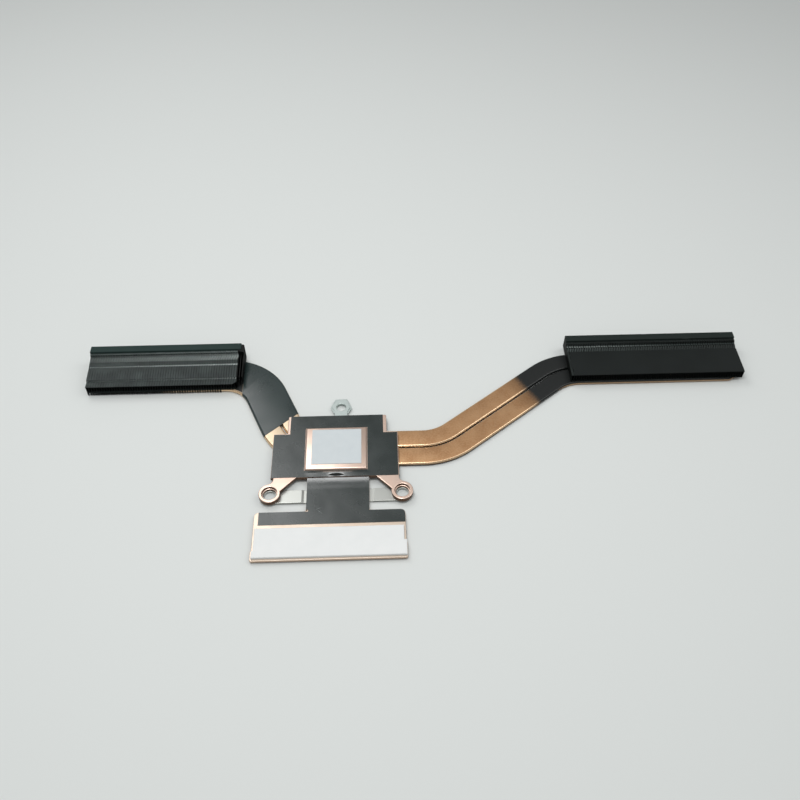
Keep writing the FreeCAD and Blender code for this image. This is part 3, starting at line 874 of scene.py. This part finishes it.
def cut_away(bm, point, normal):
    """Remove what lies beyond a plane and close the cut."""
    rim = split_by_plane(bm, point, normal, clear_outer=True)
    bmesh.ops.holes_fill(bm, edges=rim, sides=0)


def pipe_film():
    """Sweep the wrap along the left bends, and cut off both ends."""
    bm = bmesh.new()
    section = wrap_section()
    rings = []
    for x, y, heading in walk(LEFT_BEND_X, LANE_LEFT, left_legs):
        rings.append([bm.verts.new((x - across * math.sin(heading), y + across * math.cos(heading),
                                    PIPE_MIDDLE + up)) for across, up in section])
    for before, after in zip(rings, rings[1:]):
        for k in range(len(section)):
            bm.faces.new((before[k - 1], before[k], after[k], after[k - 1]))
    bm.faces.new(rings[0])
    bm.faces.new(reversed(rings[-1]))
    cut_away(bm, (left_high.x, 0, 0), (-1, 0, 0))
    end_x, end_y, _ = walk(LEFT_BEND_X, LANE_LEFT, left_legs[:2])[-1]
    slant = math.radians(FILM_END_DEGREES)
    cut_away(bm, (end_x, end_y, 0), (math.sin(slant), -math.cos(slant), 0))
    return object_from("pipe_film_wrap", bm)


place_piece(shade(pipe_film(), FILM_CREASE), pipe_black, "pipe_film", "left_pipe_film")

# %% [markdown]
# ## Fin stacks
# A zipper-fin stack is a row of thin copper sheets. Each sheet is stepped along its top and folded over
# at the floor and at every step, and the folds lock into the next sheet, so that they make the roofs.
# One fin is drawn once, and a Geometry Nodes tree repeats it with a small random play, as hand-zipped
# stacks have. Each step's fold droops a little to one side, and a few fins at the end have none.

# %% Blackened copper
RUB_SIZE = 4.0
SHADED_SIDE_COSINES = (0.2, 0.6)
LEFT_SHADED_SIDE = (0.707, -0.707, 0.0)
RIGHT_SHADED_SIDE = (-0.707, -0.707, 0.0)


def blackened(name, dark, worn, roughness, shaded_facing):
    """Blackened copper: a thin dark oxide with a satin sheen, rubbed paler in patches. The cut edges and the
    end wall, which face one way, are painted near-black and matt as painted shade."""
    material, tree, where = new_material(name)
    patches = add_node(tree, "ShaderNodeTexNoise", {
        "Vector": where, "Scale": grain(RUB_SIZE), "Detail": 5.0}).outputs["Fac"]
    rubbed_and_shaded = add_node(tree, "ShaderNodeMapRange", {
        "Value": patches, "From Min": 0.35, "From Max": 0.75}).outputs["Result"]
    tint = add_node(tree, "ShaderNodeMix", {
        0: rubbed_and_shaded, 6: linear(dark), 7: linear(worn)}, data_type="RGBA").outputs[2]
    # The sides that face one way are painted near-black, with less metal and less gloss, as painted shade.
    shaded_side = facing(tree, shaded_facing, *SHADED_SIDE_COSINES)
    colour = add_node(tree, "ShaderNodeMix", {
        0: shaded_side, 6: tint, 7: linear("#0F1211")}, data_type="RGBA").outputs[2]
    inputs = {"Base Color": colour}
    for socket, pattern, start, end in (
            ("Metallic", shaded_side, 0.3, 0.0), ("Specular IOR Level", shaded_side, 0.5, 0.05),
            ("Roughness", patches, roughness + 0.1, roughness - 0.1)):
        inputs[socket] = add_node(tree, "ShaderNodeMapRange", {
            "Value": pattern, "To Min": start, "To Max": end}).outputs["Result"]
    return end_material(material, inputs)


# Left fins: a grey-green black. Right fins: darker, as painted shade. End fins: near-black, as painted
# shade.
left_black = blackened("blackened copper fins", "#222A29", "#2E3836", 0.5, LEFT_SHADED_SIDE)
right_black = blackened("blackened copper fins in shade", "#151C1A", "#202826", 0.52, RIGHT_SHADED_SIDE)
end_shade_black = blackened("copper end fins in painted shade", "#070A09", "#0C100F", 0.7, LEFT_SHADED_SIDE)
print("fin finishes ready")

# %% A tree that sets pieces in a row


def row_tree():
    """A row of one piece along X, each copy moved by a small random play."""
    tree, given = new_tree("Row along X", {
        "Piece": "Object", "Count": "Int", "Pitch": "Float", "Start": "Vector", "Play": "Vector",
        "Seed": "Int", "Material": "Material"})
    step = add_node(tree, "ShaderNodeCombineXYZ", {"X": given["Pitch"]})
    back = add_node(tree, "ShaderNodeVectorMath", {0: given["Play"], "Scale": -1.0}, operation="SCALE")
    play = add_node(tree, "FunctionNodeRandomValue",
                    {"Min": back.outputs["Vector"], "Max": given["Play"], "Seed": given["Seed"]},
                    data_type="FLOAT_VECTOR")
    points = add_node(tree, "GeometryNodeMeshLine",
                      {"Count": given["Count"], "Start Location": given["Start"],
                       "Offset": step.outputs["Vector"]})
    moved = add_node(tree, "GeometryNodeSetPosition",
                     {"Geometry": points.outputs["Mesh"], "Offset": play.outputs["Value"]})
    shape = add_node(tree, "GeometryNodeObjectInfo", {"Object": given["Piece"]})
    row = add_node(tree, "GeometryNodeInstanceOnPoints",
                   {"Points": moved.outputs["Geometry"], "Instance": shape.outputs["Geometry"]})
    return end_tree(tree, row.outputs["Instances"], given["Material"])


row_along_x = row_tree()
print("row tree with", len(row_along_x.nodes), "nodes")

# %% One fin
FIN_PITCH = 0.9
FIN_SHEET = 0.2
FOLD_SEAM = 0.12
FOLD_REACH = FIN_PITCH - FOLD_SEAM
FOLD_TILT = -0.05
FIN_PLAY = (0.01, 0.03, 0.0)
EDGE_SETBACK = 0.1
BLOCK_FACES = ((0, 1, 3, 2), (4, 6, 7, 5), (0, 4, 5, 1), (2, 3, 7, 6), (0, 2, 6, 4), (1, 5, 7, 3))


def add_block(bm, low, high, tilt=0.0, lean=0.0, rise=0.0):
    """A closed block; tilt lifts its right side, and its rear side leans to the right and rises."""
    ends = (low, high)
    corners = []
    for i in (0, 1):
        for j in (0, 1):
            for k in (0, 1):
                corners.append(bm.verts.new((ends[i][0] + lean * j, ends[j][1],
                                             ends[k][2] + tilt * i + rise * j)))
    for face in BLOCK_FACES:
        bm.faces.new([corners[c] for c in face])


def fin(levels, folded):
    """One stepped sheet from y = 0 and z = 0, folded at the floor and at each level, or bare."""
    bm = bmesh.new()
    depth = levels[-1][1]
    outline = [(EDGE_SETBACK, FIN_SHEET), (depth - EDGE_SETBACK, FIN_SHEET)]
    for near, far, near_top, far_top in reversed(levels):
        outline.append((min(far, depth - EDGE_SETBACK), far_top - FIN_SHEET))
        outline.append((max(near, EDGE_SETBACK), near_top - FIN_SHEET))
    left = [bm.verts.new((0, y, z)) for y, z in outline]
    right = [bm.verts.new((FIN_SHEET, y, z)) for y, z in outline]
    bm.faces.new(left)
    bm.faces.new(reversed(right))
    for k in range(len(outline)):
        bm.faces.new((left[k - 1], left[k], right[k], right[k - 1]))
    if folded:
        add_block(bm, (0, 0, 0), (FOLD_REACH, depth, FIN_SHEET))
        for near, far, near_top, far_top in levels:
            add_block(bm, (0, near, near_top - FIN_SHEET), (FOLD_REACH, far, near_top), tilt=FOLD_TILT,
                      rise=far_top - near_top)
    else:
        add_block(bm, (FIN_SHEET - FOLD_REACH, 0, 0), (FIN_SHEET, depth, FIN_SHEET))
    return object_from("fin", bm)


def row_of(name, shape, count, start, play, seed, material):
    """Repeat a shape along X at the fins' pitch; the shape itself is used up."""
    row = grow(name, row_along_x, {
        "Piece": shape, "Count": count, "Pitch": FIN_PITCH * MM, "Start": Vector(start) * MM,
        "Play": Vector(play) * MM, "Seed": seed, "Material": material})
    bpy.data.objects.remove(shape)
    return row


print("fin helpers ready")

# %% Left stack
# Each level of a stack has a front, a rear, and a height at both.
LEFT_LEVELS = ((0.0, 2.5, 3.1, 3.1), (2.75, 8.2, 3.75, 4.3), (8.6, 12.4, 4.55, 5.0), (12.7, 16.4, 5.5, 5.5))
LEFT_FOLDED = 59
LEFT_BARE = 3
CORNER_LENGTH = 3.3
CORNER_DEPTH = 3.0
corner_start = Vector((left_high.x - CORNER_LENGTH, left_low.y, 0)) * MM
corner_normal = Vector((CORNER_DEPTH, -CORNER_LENGTH, 0)).normalized()


def trim_corner(piece):
    """Cut the left stack's front right corner off a piece."""
    return reshape(piece, lambda bm: cut_away(bm, corner_start, corner_normal))


fins = row_of("left_fins", fin(LEFT_LEVELS, True), LEFT_FOLDED, left_low, FIN_PLAY,
              seed=3, material=left_black)
place_piece(trim_corner(fins), left_black, "left_fins", "left_fin_stack")
bare_start = left_low + Vector((LEFT_FOLDED * FIN_PITCH, 0, 0))
fins = row_of("left_end_fins", fin(LEFT_LEVELS, False), LEFT_BARE, bare_start, FIN_PLAY,
              seed=4, material=end_shade_black)
place_piece(trim_corner(fins), end_shade_black, "left_fins")

# %% Plug at the rear of the left stack's bare end
# The plug is drawn in the end fins' near-black, which is painted shade.
PLUG_FRONT = 12.7
PLUG_TOP = 6.7
PLUG_SLOPE = -0.6
plug_high = Vector((left_high.x, left_high.y - EDGE_SETBACK, left_low.z + PLUG_TOP))
bm = bmesh.new()
add_block(bm, bare_start + Vector((0, PLUG_FRONT, FIN_SHEET)), plug_high, tilt=PLUG_SLOPE)
place_piece(object_from("left_end_plug", bm), end_shade_black, "left_fins")

# %% Right stack
RIGHT_LEVELS = ((0.0, 11.6, 3.3, 3.3), (12.9, 13.7, 3.9, 3.9), (14.1, 17.9, 4.7, 4.7))
RIGHT_FOLDED = 69
RIGHT_BARE = 1
right_low, _ = box_mm("right_fin_stack")
fins = row_of("right_fins", fin(RIGHT_LEVELS, True), RIGHT_FOLDED, right_low, FIN_PLAY,
              seed=5, material=right_black)
place_piece(fins, right_black, "right_fins", "right_fin_stack")
bare_start = right_low + Vector((RIGHT_FOLDED * FIN_PITCH, 0, 0))
fins = row_of("right_end_fin", fin(RIGHT_LEVELS, False), RIGHT_BARE, bare_start, FIN_PLAY,
              seed=6, material=right_black)
place_piece(fins, right_black, "right_fins")

# %% [markdown]
# ## Zipper tabs
# Where two fins lock together, a small tab stands up from the fold, and handling rubs it bright. Tabs
# bridge each open step between two roofs, and along the left stack's ledge they lean to one side. A low
# lip of folded ends stands in front of the left foam. All of them repeat at the fins' pitch, so the same
# tree sets them in rows, with paler materials of their own.

# %% Worn fin edges
# Wear grows from a place beyond the dull end, or within the stack, to the end beside the pipes' bend.
LEFT_DULL = -30.0
LIP_DULL = -20.0
RIGHT_DULL = 40.0
LEFT_WEAR = (left_low.x + LEFT_DULL, left_high.x)
LIP_WEAR = (left_low.x + LIP_DULL, left_high.x)
RIGHT_WEAR = (right_low.x + RIGHT_DULL, right_low.x)
CHIP_SIZE = 1.5


def worn_edge(name, dim, bright, wear):
    """Fin edges rubbed through their oxide: grey-green metal, more worn towards one end of the stack."""
    material, tree, where = new_material(name)
    x = add_node(tree, "ShaderNodeSeparateXYZ", {"Vector": where}).outputs["X"]
    along = add_node(tree, "ShaderNodeMapRange", {
        "Value": x, "From Min": wear[0] * MM, "From Max": wear[1] * MM})
    chips = add_node(tree, "ShaderNodeTexNoise", {"Vector": where, "Scale": grain(CHIP_SIZE), "Detail": 3.0})
    amount = add_node(tree, "ShaderNodeMath", {
        0: along.outputs["Result"], 1: chips.outputs["Fac"]}, operation="MULTIPLY")
    full = add_node(tree, "ShaderNodeMapRange", {"Value": amount.outputs["Value"], "From Max": 0.6})
    tint = add_node(tree, "ShaderNodeMix", {
        0: full.outputs["Result"], 6: linear(dim), 7: linear(bright)}, data_type="RGBA")
    return end_material(material, {"Base Color": tint.outputs[2], "Metallic": 0.5, "Roughness": 0.45})


# Worn edges: pale flecks against the black fins; the right stack's rows are darker as painted shade.
left_worn = worn_edge("worn left fin edges", "#434C49", "#B4BEBC", LEFT_WEAR)
left_step_worn = worn_edge("worn left fin steps", "#626C6A", "#B9C3C1", LEFT_WEAR)
left_lip_worn = worn_edge("worn left lip", "#3A4341", "#6A7472", LIP_WEAR)
right_worn = worn_edge("worn right fin edges", "#414A48", "#9BA4A1", RIGHT_WEAR)
right_step_worn = worn_edge("worn right fin steps", "#202725", "#3C4543", RIGHT_WEAR)
print("worn edges ready")

# %% Rows of tabs
TAB_SUNK = 0.12
TAB_PLAY = (0.04, 0.05, 0.02)
TAB_SEED = 11
STEP_TAB_WIDTH = 0.4
STEP_TAB_LEAN = 0.3
STEP_TAB_INSET = 0.2
STEP_LAP = 0.05
STEP_DROP = 0.1


def tab_row(name, start, count, size, lean, rise, material, slot):
    """A row of tabs of a size, from the left tab's front corner on a fold's top."""
    bm = bmesh.new()
    add_block(bm, (0, 0, -TAB_SUNK), size, lean=lean, rise=rise)
    row = row_of(name, object_from("tab", bm), count, start, TAB_PLAY, TAB_SEED, material)
    place_piece(row, material, slot)


def step_rows(side, stack_low, levels, count, material, slot):
    """A row of tabs across each open step between two roofs."""
    for index, (lower, upper) in enumerate(zip(levels, levels[1:])):
        start = stack_low + Vector((STEP_TAB_INSET, lower[1] - STEP_LAP, lower[3] - STEP_DROP))
        size = (STEP_TAB_WIDTH, upper[0] - lower[1] + 2 * STEP_LAP, 0.0)
        tab_row(side + "_step_tabs_" + str(index + 1), start, count, size, STEP_TAB_LEAN,
                upper[2] - lower[3], material, slot)


step_rows("left", left_low, LEFT_LEVELS, LEFT_FOLDED, left_step_worn, "left_fins")
step_rows("right", right_low, RIGHT_LEVELS, RIGHT_FOLDED, right_step_worn, "right_fins")

# %% Tabs on the ledges, and the lip
# Each row has a place on its stack, a tab size, a lean and a rise.
LEFT_TABS = (
    ("left_ledge_tabs", (0.1, 10.2, 4.74), (0.26, 1.9, 0.12), 0.75, 0.22, left_worn),
    # The groove row is thin strips in the end fins' near-black: painted shade between the ledge tabs.
    ("left_ledge_grooves", (0.0, 10.1, 4.74), (0.78, 2.1, 0.02), 0.0, 0.25, end_shade_black),
    ("left_lip", (0.05, 12.7, 5.5), (0.78, 0.8, 0.65), 0.0, 0.0, left_lip_worn))
RIGHT_TAB_PLACE = Vector((0.15, 12.95, 3.9))
RIGHT_TAB_SIZE = (0.5, 0.65, 0.08)
for row_name, place, size, lean, rise, finish in LEFT_TABS:
    tab_row(row_name, left_low + Vector(place), LEFT_FOLDED, size, lean, rise, finish, "left_fins")
tab_row("right_ledge_tabs", right_low + RIGHT_TAB_PLACE, RIGHT_FOLDED, RIGHT_TAB_SIZE, 0.0, 0.0, right_worn,
        "right_fins")

# %% Feet of the left fins
FOOT_SIZE = (0.5, FIN_SHEET, 0.05)
FOOT_DROP = 1.2
FOOT_COUNT = 53
FOOT_SEED = 41
bm = bmesh.new()
add_block(bm, (0, 0, -FOOT_DROP), FOOT_SIZE)
feet = row_of("left_fin_feet", object_from("foot", bm), FOOT_COUNT, left_low, TAB_PLAY, FOOT_SEED,
              left_black)
place_piece(feet, left_black, "left_fins")

# %% [markdown]
# ## Foam strips
# A strip of sealing foam lies along the rear of each stack's roof, to close the gap to the fan. It is
# die-cut, so its edges are only a little round, and its skin is smooth with fine pores. The right strip
# has been dented near its far end.

# %% Foam rubber
SCUFF_SIZE = 5.0
# Real pores are too fine to show, so these are drawn coarser.
PORE = 0.35


def foam_finish(name, colour, dusty):
    """Closed-cell foam with a skin: matt black, with pores of a third of a millimetre."""
    material, tree, where = new_material(name)
    wear = add_node(tree, "ShaderNodeTexNoise", {"Vector": where, "Scale": grain(SCUFF_SIZE), "Detail": 4.0})
    tint = add_node(tree, "ShaderNodeMix", {
        0: wear.outputs["Fac"], 6: linear(colour), 7: linear(dusty)}, data_type="RGBA")
    pores = add_node(tree, "ShaderNodeTexVoronoi", {"Vector": where, "Scale": grain(PORE)})
    bump = add_node(tree, "ShaderNodeBump", {
        "Height": pores.outputs["Distance"], "Strength": 0.3, "Distance": 0.05 * MM})
    return end_material(material, {
        "Base Color": tint.outputs[2], "Roughness": 0.7, "Specular IOR Level": 0.3,
        "Normal": bump.outputs["Normal"]})


# Foam: a matt black with a green tint on the left, and darker on the right as painted shade.
left_foam_black = foam_finish("sealing foam", "#1A2C29", "#243835")
right_foam_black = foam_finish("sealing foam in shade", "#0F1916", "#192522")
print("foam ready")

# %% Soft blocks
EDGE_PARTS = (0.15, 0.45, 1.0)
RIPPLE = 0.02
RIPPLES_PER_MM = 0.6
SOFT_CREASE = 60


def soft_block(name, low, high, edge, sides=None, x_stops=(), y_stops=(), dents=(), step=1.0):
    """A soft slab with rounded top edges; sides gives its left and right at a y, dents press its top."""
    sides = sides or (lambda y: (low.x, high.x))

    def top(x, y):
        left, right = sides(y)
        inside = min(x - left, right - x, y - low.y, high.y - y)
        slope = 1 - min(max(inside, 0.0), edge) / edge
        z = high.z - edge * (1 - math.sqrt(1 - slope ** 2))
        for dent_x, dent_y, size_x, size_y, press in dents:
            z -= press * swell(x - dent_x, size_x) * swell(y - dent_y, size_y)
        ripple = RIPPLE * noise.noise(Vector((x, y, 0)) * RIPPLES_PER_MM) * (1 - slope)
        return x, y, z + ripple - RIPPLE / 2

    def cell(x, y):
        left, right = sides(y)
        return left < x < right

    def marks(stops):
        places = set(stops)
        for stop in stops:
            places.update(stop + sign * edge * part for part in EDGE_PARTS for sign in (-1, 1))
        return lines(sorted(p for p in places if stops[0] <= p <= stops[-1]), step)

    xs, ys = marks(x_stops or (low.x, high.x)), marks(y_stops or (low.y, high.y))
    return shade(grid_slab(name, xs, ys, top, lambda x, y: (x, y, low.z), cell), SOFT_CREASE)


def place_soft(piece, material, slot, node):
    """Place a soft piece that fills its CAD node."""
    place_piece(piece, material, slot, node)


print("soft helpers ready")

# %% Both foam strips
# Each dent has a place, two half sizes and a depth.
RIGHT_DENTS = ((127.5, 43.4, 1.9, 0.9, 0.3), (113.0, 45.6, 2.5, 0.8, 0.12))
FOAM_EDGES = (0.25, 0.2)
FOAM_STEP = 0.6
strip = soft_block("left_foam", *box_mm("left_foam_strip"), FOAM_EDGES[0], step=FOAM_STEP)
place_soft(strip, left_foam_black, "left_foam", "left_foam_strip")
strip = soft_block("right_foam", *box_mm("right_foam_strip"), FOAM_EDGES[1], dents=RIGHT_DENTS,
                   step=FOAM_STEP)
place_soft(strip, right_foam_black, "right_foam", "right_foam_strip")

# %% [markdown]
# ## Tape on the right stack
# A strip of black tape covers the long shelf of the right stack. It is smooth, and its left end was cut
# by hand, so that edge wanders. It is a gridded slab whose left end is pushed to and fro.

# %% Tape
TAPE_FREE = 8.0
TAPE_STEPS = (4.0, 0.8)
WANDER = 0.45
WANDER_TURN = 8.0
WANDER_START = -0.6
WANDER_BACK = 0.5
tape_low, tape_high = box_mm("right_fin_tape")
# Vinyl tape: a flat black with hardly any gloss.
tape_black = film_finish("black vinyl tape", "#0E1312", "#171D1C", shine=0.25, roughness=0.5, wave=14.0)


def tape_top(x, y):
    """The tape's upper side, with its uneven left edge."""
    along = (y - tape_low.y) / (tape_high.y - tape_low.y)
    wander = WANDER * math.cos(WANDER_TURN * along + WANDER_START) + WANDER_BACK
    hold = min(1.0, (x - tape_low.x) / TAPE_FREE)
    return x + wander * (1 - hold), y, tape_high.z


tape_xs = lines([tape_low.x, tape_low.x + TAPE_FREE, tape_high.x], TAPE_STEPS[0])
tape_ys = lines([tape_low.y, tape_high.y], TAPE_STEPS[1])
tape = grid_slab("shelf_tape", tape_xs, tape_ys, tape_top, lowered(tape_top, tape_high.z - tape_low.z))
place_piece(shade(tape, FILM_CREASE), tape_black, "fin_tape", "right_fin_tape")

# %% [markdown]
# ## Thermal pads
# The grey pad on the pedestal is a printed phase-change compound, waxy and almost flat, and the print
# ends a little short of its full outline. The white pad is cut from silicone sheet: it is soft, so its
# edges round over, and it is a little wider towards the front on both sides. Both are matt and pale,
# with faint mottling from the filler.

# %% Pad compounds
# The filler's grain is too fine to show, so this one is drawn coarser.
FILLER_GRAIN = 0.4


def pad_finish(name, colour, mottled, roughness, mottle):
    """A filled silicone or wax: matt and pale, mottled at a size in millimetres."""
    material, tree, where = new_material(name)
    spots = add_node(tree, "ShaderNodeTexNoise", {"Vector": where, "Scale": grain(mottle), "Detail": 5.0})
    tint = add_node(tree, "ShaderNodeMix", {
        0: spots.outputs["Fac"], 6: linear(colour), 7: linear(mottled)}, data_type="RGBA")
    fine = add_node(tree, "ShaderNodeTexNoise", {
        "Vector": where, "Scale": grain(FILLER_GRAIN), "Detail": 3.0})
    bump = add_node(tree, "ShaderNodeBump", {
        "Height": fine.outputs["Fac"], "Strength": 0.3, "Distance": 0.03 * MM})
    return end_material(material, {
        "Base Color": tint.outputs[2], "Roughness": roughness, "Normal": bump.outputs["Normal"]})


# Compound: a cool pale grey with a waxy calm. Silicone: almost white and chalky.
grey_compound = pad_finish("phase-change compound", "#D3DADC", "#C8D0D3", roughness=0.55, mottle=3.0)
white_silicone = pad_finish("white silicone pad", "#EEF0EF", "#E4E7E6", roughness=0.6, mottle=4.0)
print("pad compounds ready")

# %% Both pads
# A waist is the place where the white pad grows wider, and by how much.
PRINT_SHORT_LOW = (0.2, 0.8, 0.0)
PRINT_SHORT_HIGH = (0.6, 0.15, 0.0)
PRINT_EDGE = 0.12
SHEET_EDGE = 0.25
WAIST_LEFT = (-38.2, 0.45)
WAIST_RIGHT = (-35.5, 0.8)
print_low, print_high = box_mm("phase_change_pad")
sheet_low, sheet_high = box_mm("vrm_pad")
wide_left, wide_right = sheet_low.x - WAIST_LEFT[1], sheet_high.x + WAIST_RIGHT[1]


def white_pad_sides(y):
    """Left and right side of the white pad, which is wider at the front."""
    left = wide_left if y < WAIST_LEFT[0] else sheet_low.x
    right = wide_right if y < WAIST_RIGHT[0] else sheet_high.x
    return left, right


pad = soft_block("grey_pad_print", print_low + Vector(PRINT_SHORT_LOW),
                 print_high - Vector(PRINT_SHORT_HIGH), PRINT_EDGE)
place_soft(pad, grey_compound, "grey_pad", "phase_change_pad")
pad = soft_block("white_pad_sheet", sheet_low, sheet_high, SHEET_EDGE, white_pad_sides,
                 (wide_left, sheet_low.x, sheet_high.x, wide_right),
                 (sheet_low.y, WAIST_LEFT[0], WAIST_RIGHT[0], sheet_high.y))
place_soft(pad, white_silicone, "white_pad", "vrm_pad")

# %% [markdown]
# ## Floor, light and camera
# The part lies on a plain pale floor. One soft lamp hangs overhead and lights every slope that faces the
# camera. A wider one stands high behind the part on the left, so that the flat films shine on that side
# and grow dark to the right. A weaker one on the right draws a line of light along the pipes' edges, and
# an even grey world fills the shadows. The camera looks down from the front, from a height and with a
# lens that were matched to the picture.

# %% Floor
FLOOR_HALF = 900.0
FLOOR_CORNERS = ((-1, -1), (1, -1), (1, 1), (-1, 1))
bm = bmesh.new()
bm.faces.new([bm.verts.new((x * FLOOR_HALF, y * FLOOR_HALF, pipe_low.z)) for x, y in FLOOR_CORNERS])
floor = object_from("floor", bm)
# Matt paint: a pale grey without gloss, so that only soft shadows show.
floor_paint, _, _ = new_material("matt pale floor")
floor.data.materials.append(end_material(floor_paint, {"Base Color": linear("#DDE1DF"), "Roughness": 0.8}))
print("floor at", round(pipe_low.z, 2), "mm")

# %% Light
# Each lamp has a place, a size and a power in watts.
LAMPS = (("overhead_lamp", (-40, -60, 480), (180, 180), 0.9),
         ("window_lamp", (-165, 240, 430), (200, 300), 0.6),
         ("side_lamp", (290, 60, 420), (150, 300), 0.35))
WORLD_LEVEL = 0.35


def soft_lamp(name, place, size, power):
    """A rectangular lamp at a place in millimetres, facing the part."""
    data = bpy.data.lights.new(name, "AREA")
    data.shape = "RECTANGLE"
    data.size = size[0] * MM
    data.size_y = size[1] * MM
    data.energy = power
    lamp = bpy.data.objects.new(name, data)
    lamp.location = Vector(place) * MM
    lamp.rotation_euler = (-lamp.location).to_track_quat("-Z", "Y").to_euler()
    scene.collection.objects.link(lamp)
    print(name, "of", power, "W")


world = bpy.data.worlds.new("even grey room")
scene.world = world
world.use_nodes = True
sky = world.node_tree.nodes["Background"]
sky.inputs["Color"].default_value = linear("#FFFFFF")
sky.inputs["Strength"].default_value = WORLD_LEVEL
for lamp_values in LAMPS:
    soft_lamp(*lamp_values)

# %% Camera
CAMERA_PLACE = (15.56, -169.72, 225.21)
CAMERA_TILT = 40.1
CAMERA_TURN = -1.85
LENS = 37.8
SENSOR = 36.0
NEAREST = 10.0
camera_data = bpy.data.cameras.new("camera")
camera_data.lens = LENS
camera_data.sensor_width = SENSOR
camera_data.clip_start = NEAREST * MM
camera = bpy.data.objects.new("camera", camera_data)
camera.location = Vector(CAMERA_PLACE) * MM
camera.rotation_euler = (math.radians(CAMERA_TILT), 0.0, math.radians(CAMERA_TURN))
scene.collection.objects.link(camera)
scene.camera = camera
scene.view_settings.view_transform = "Standard"
print("camera at", [round(place / MM, 1) for place in camera.location])

# %% The end
print("end of script")
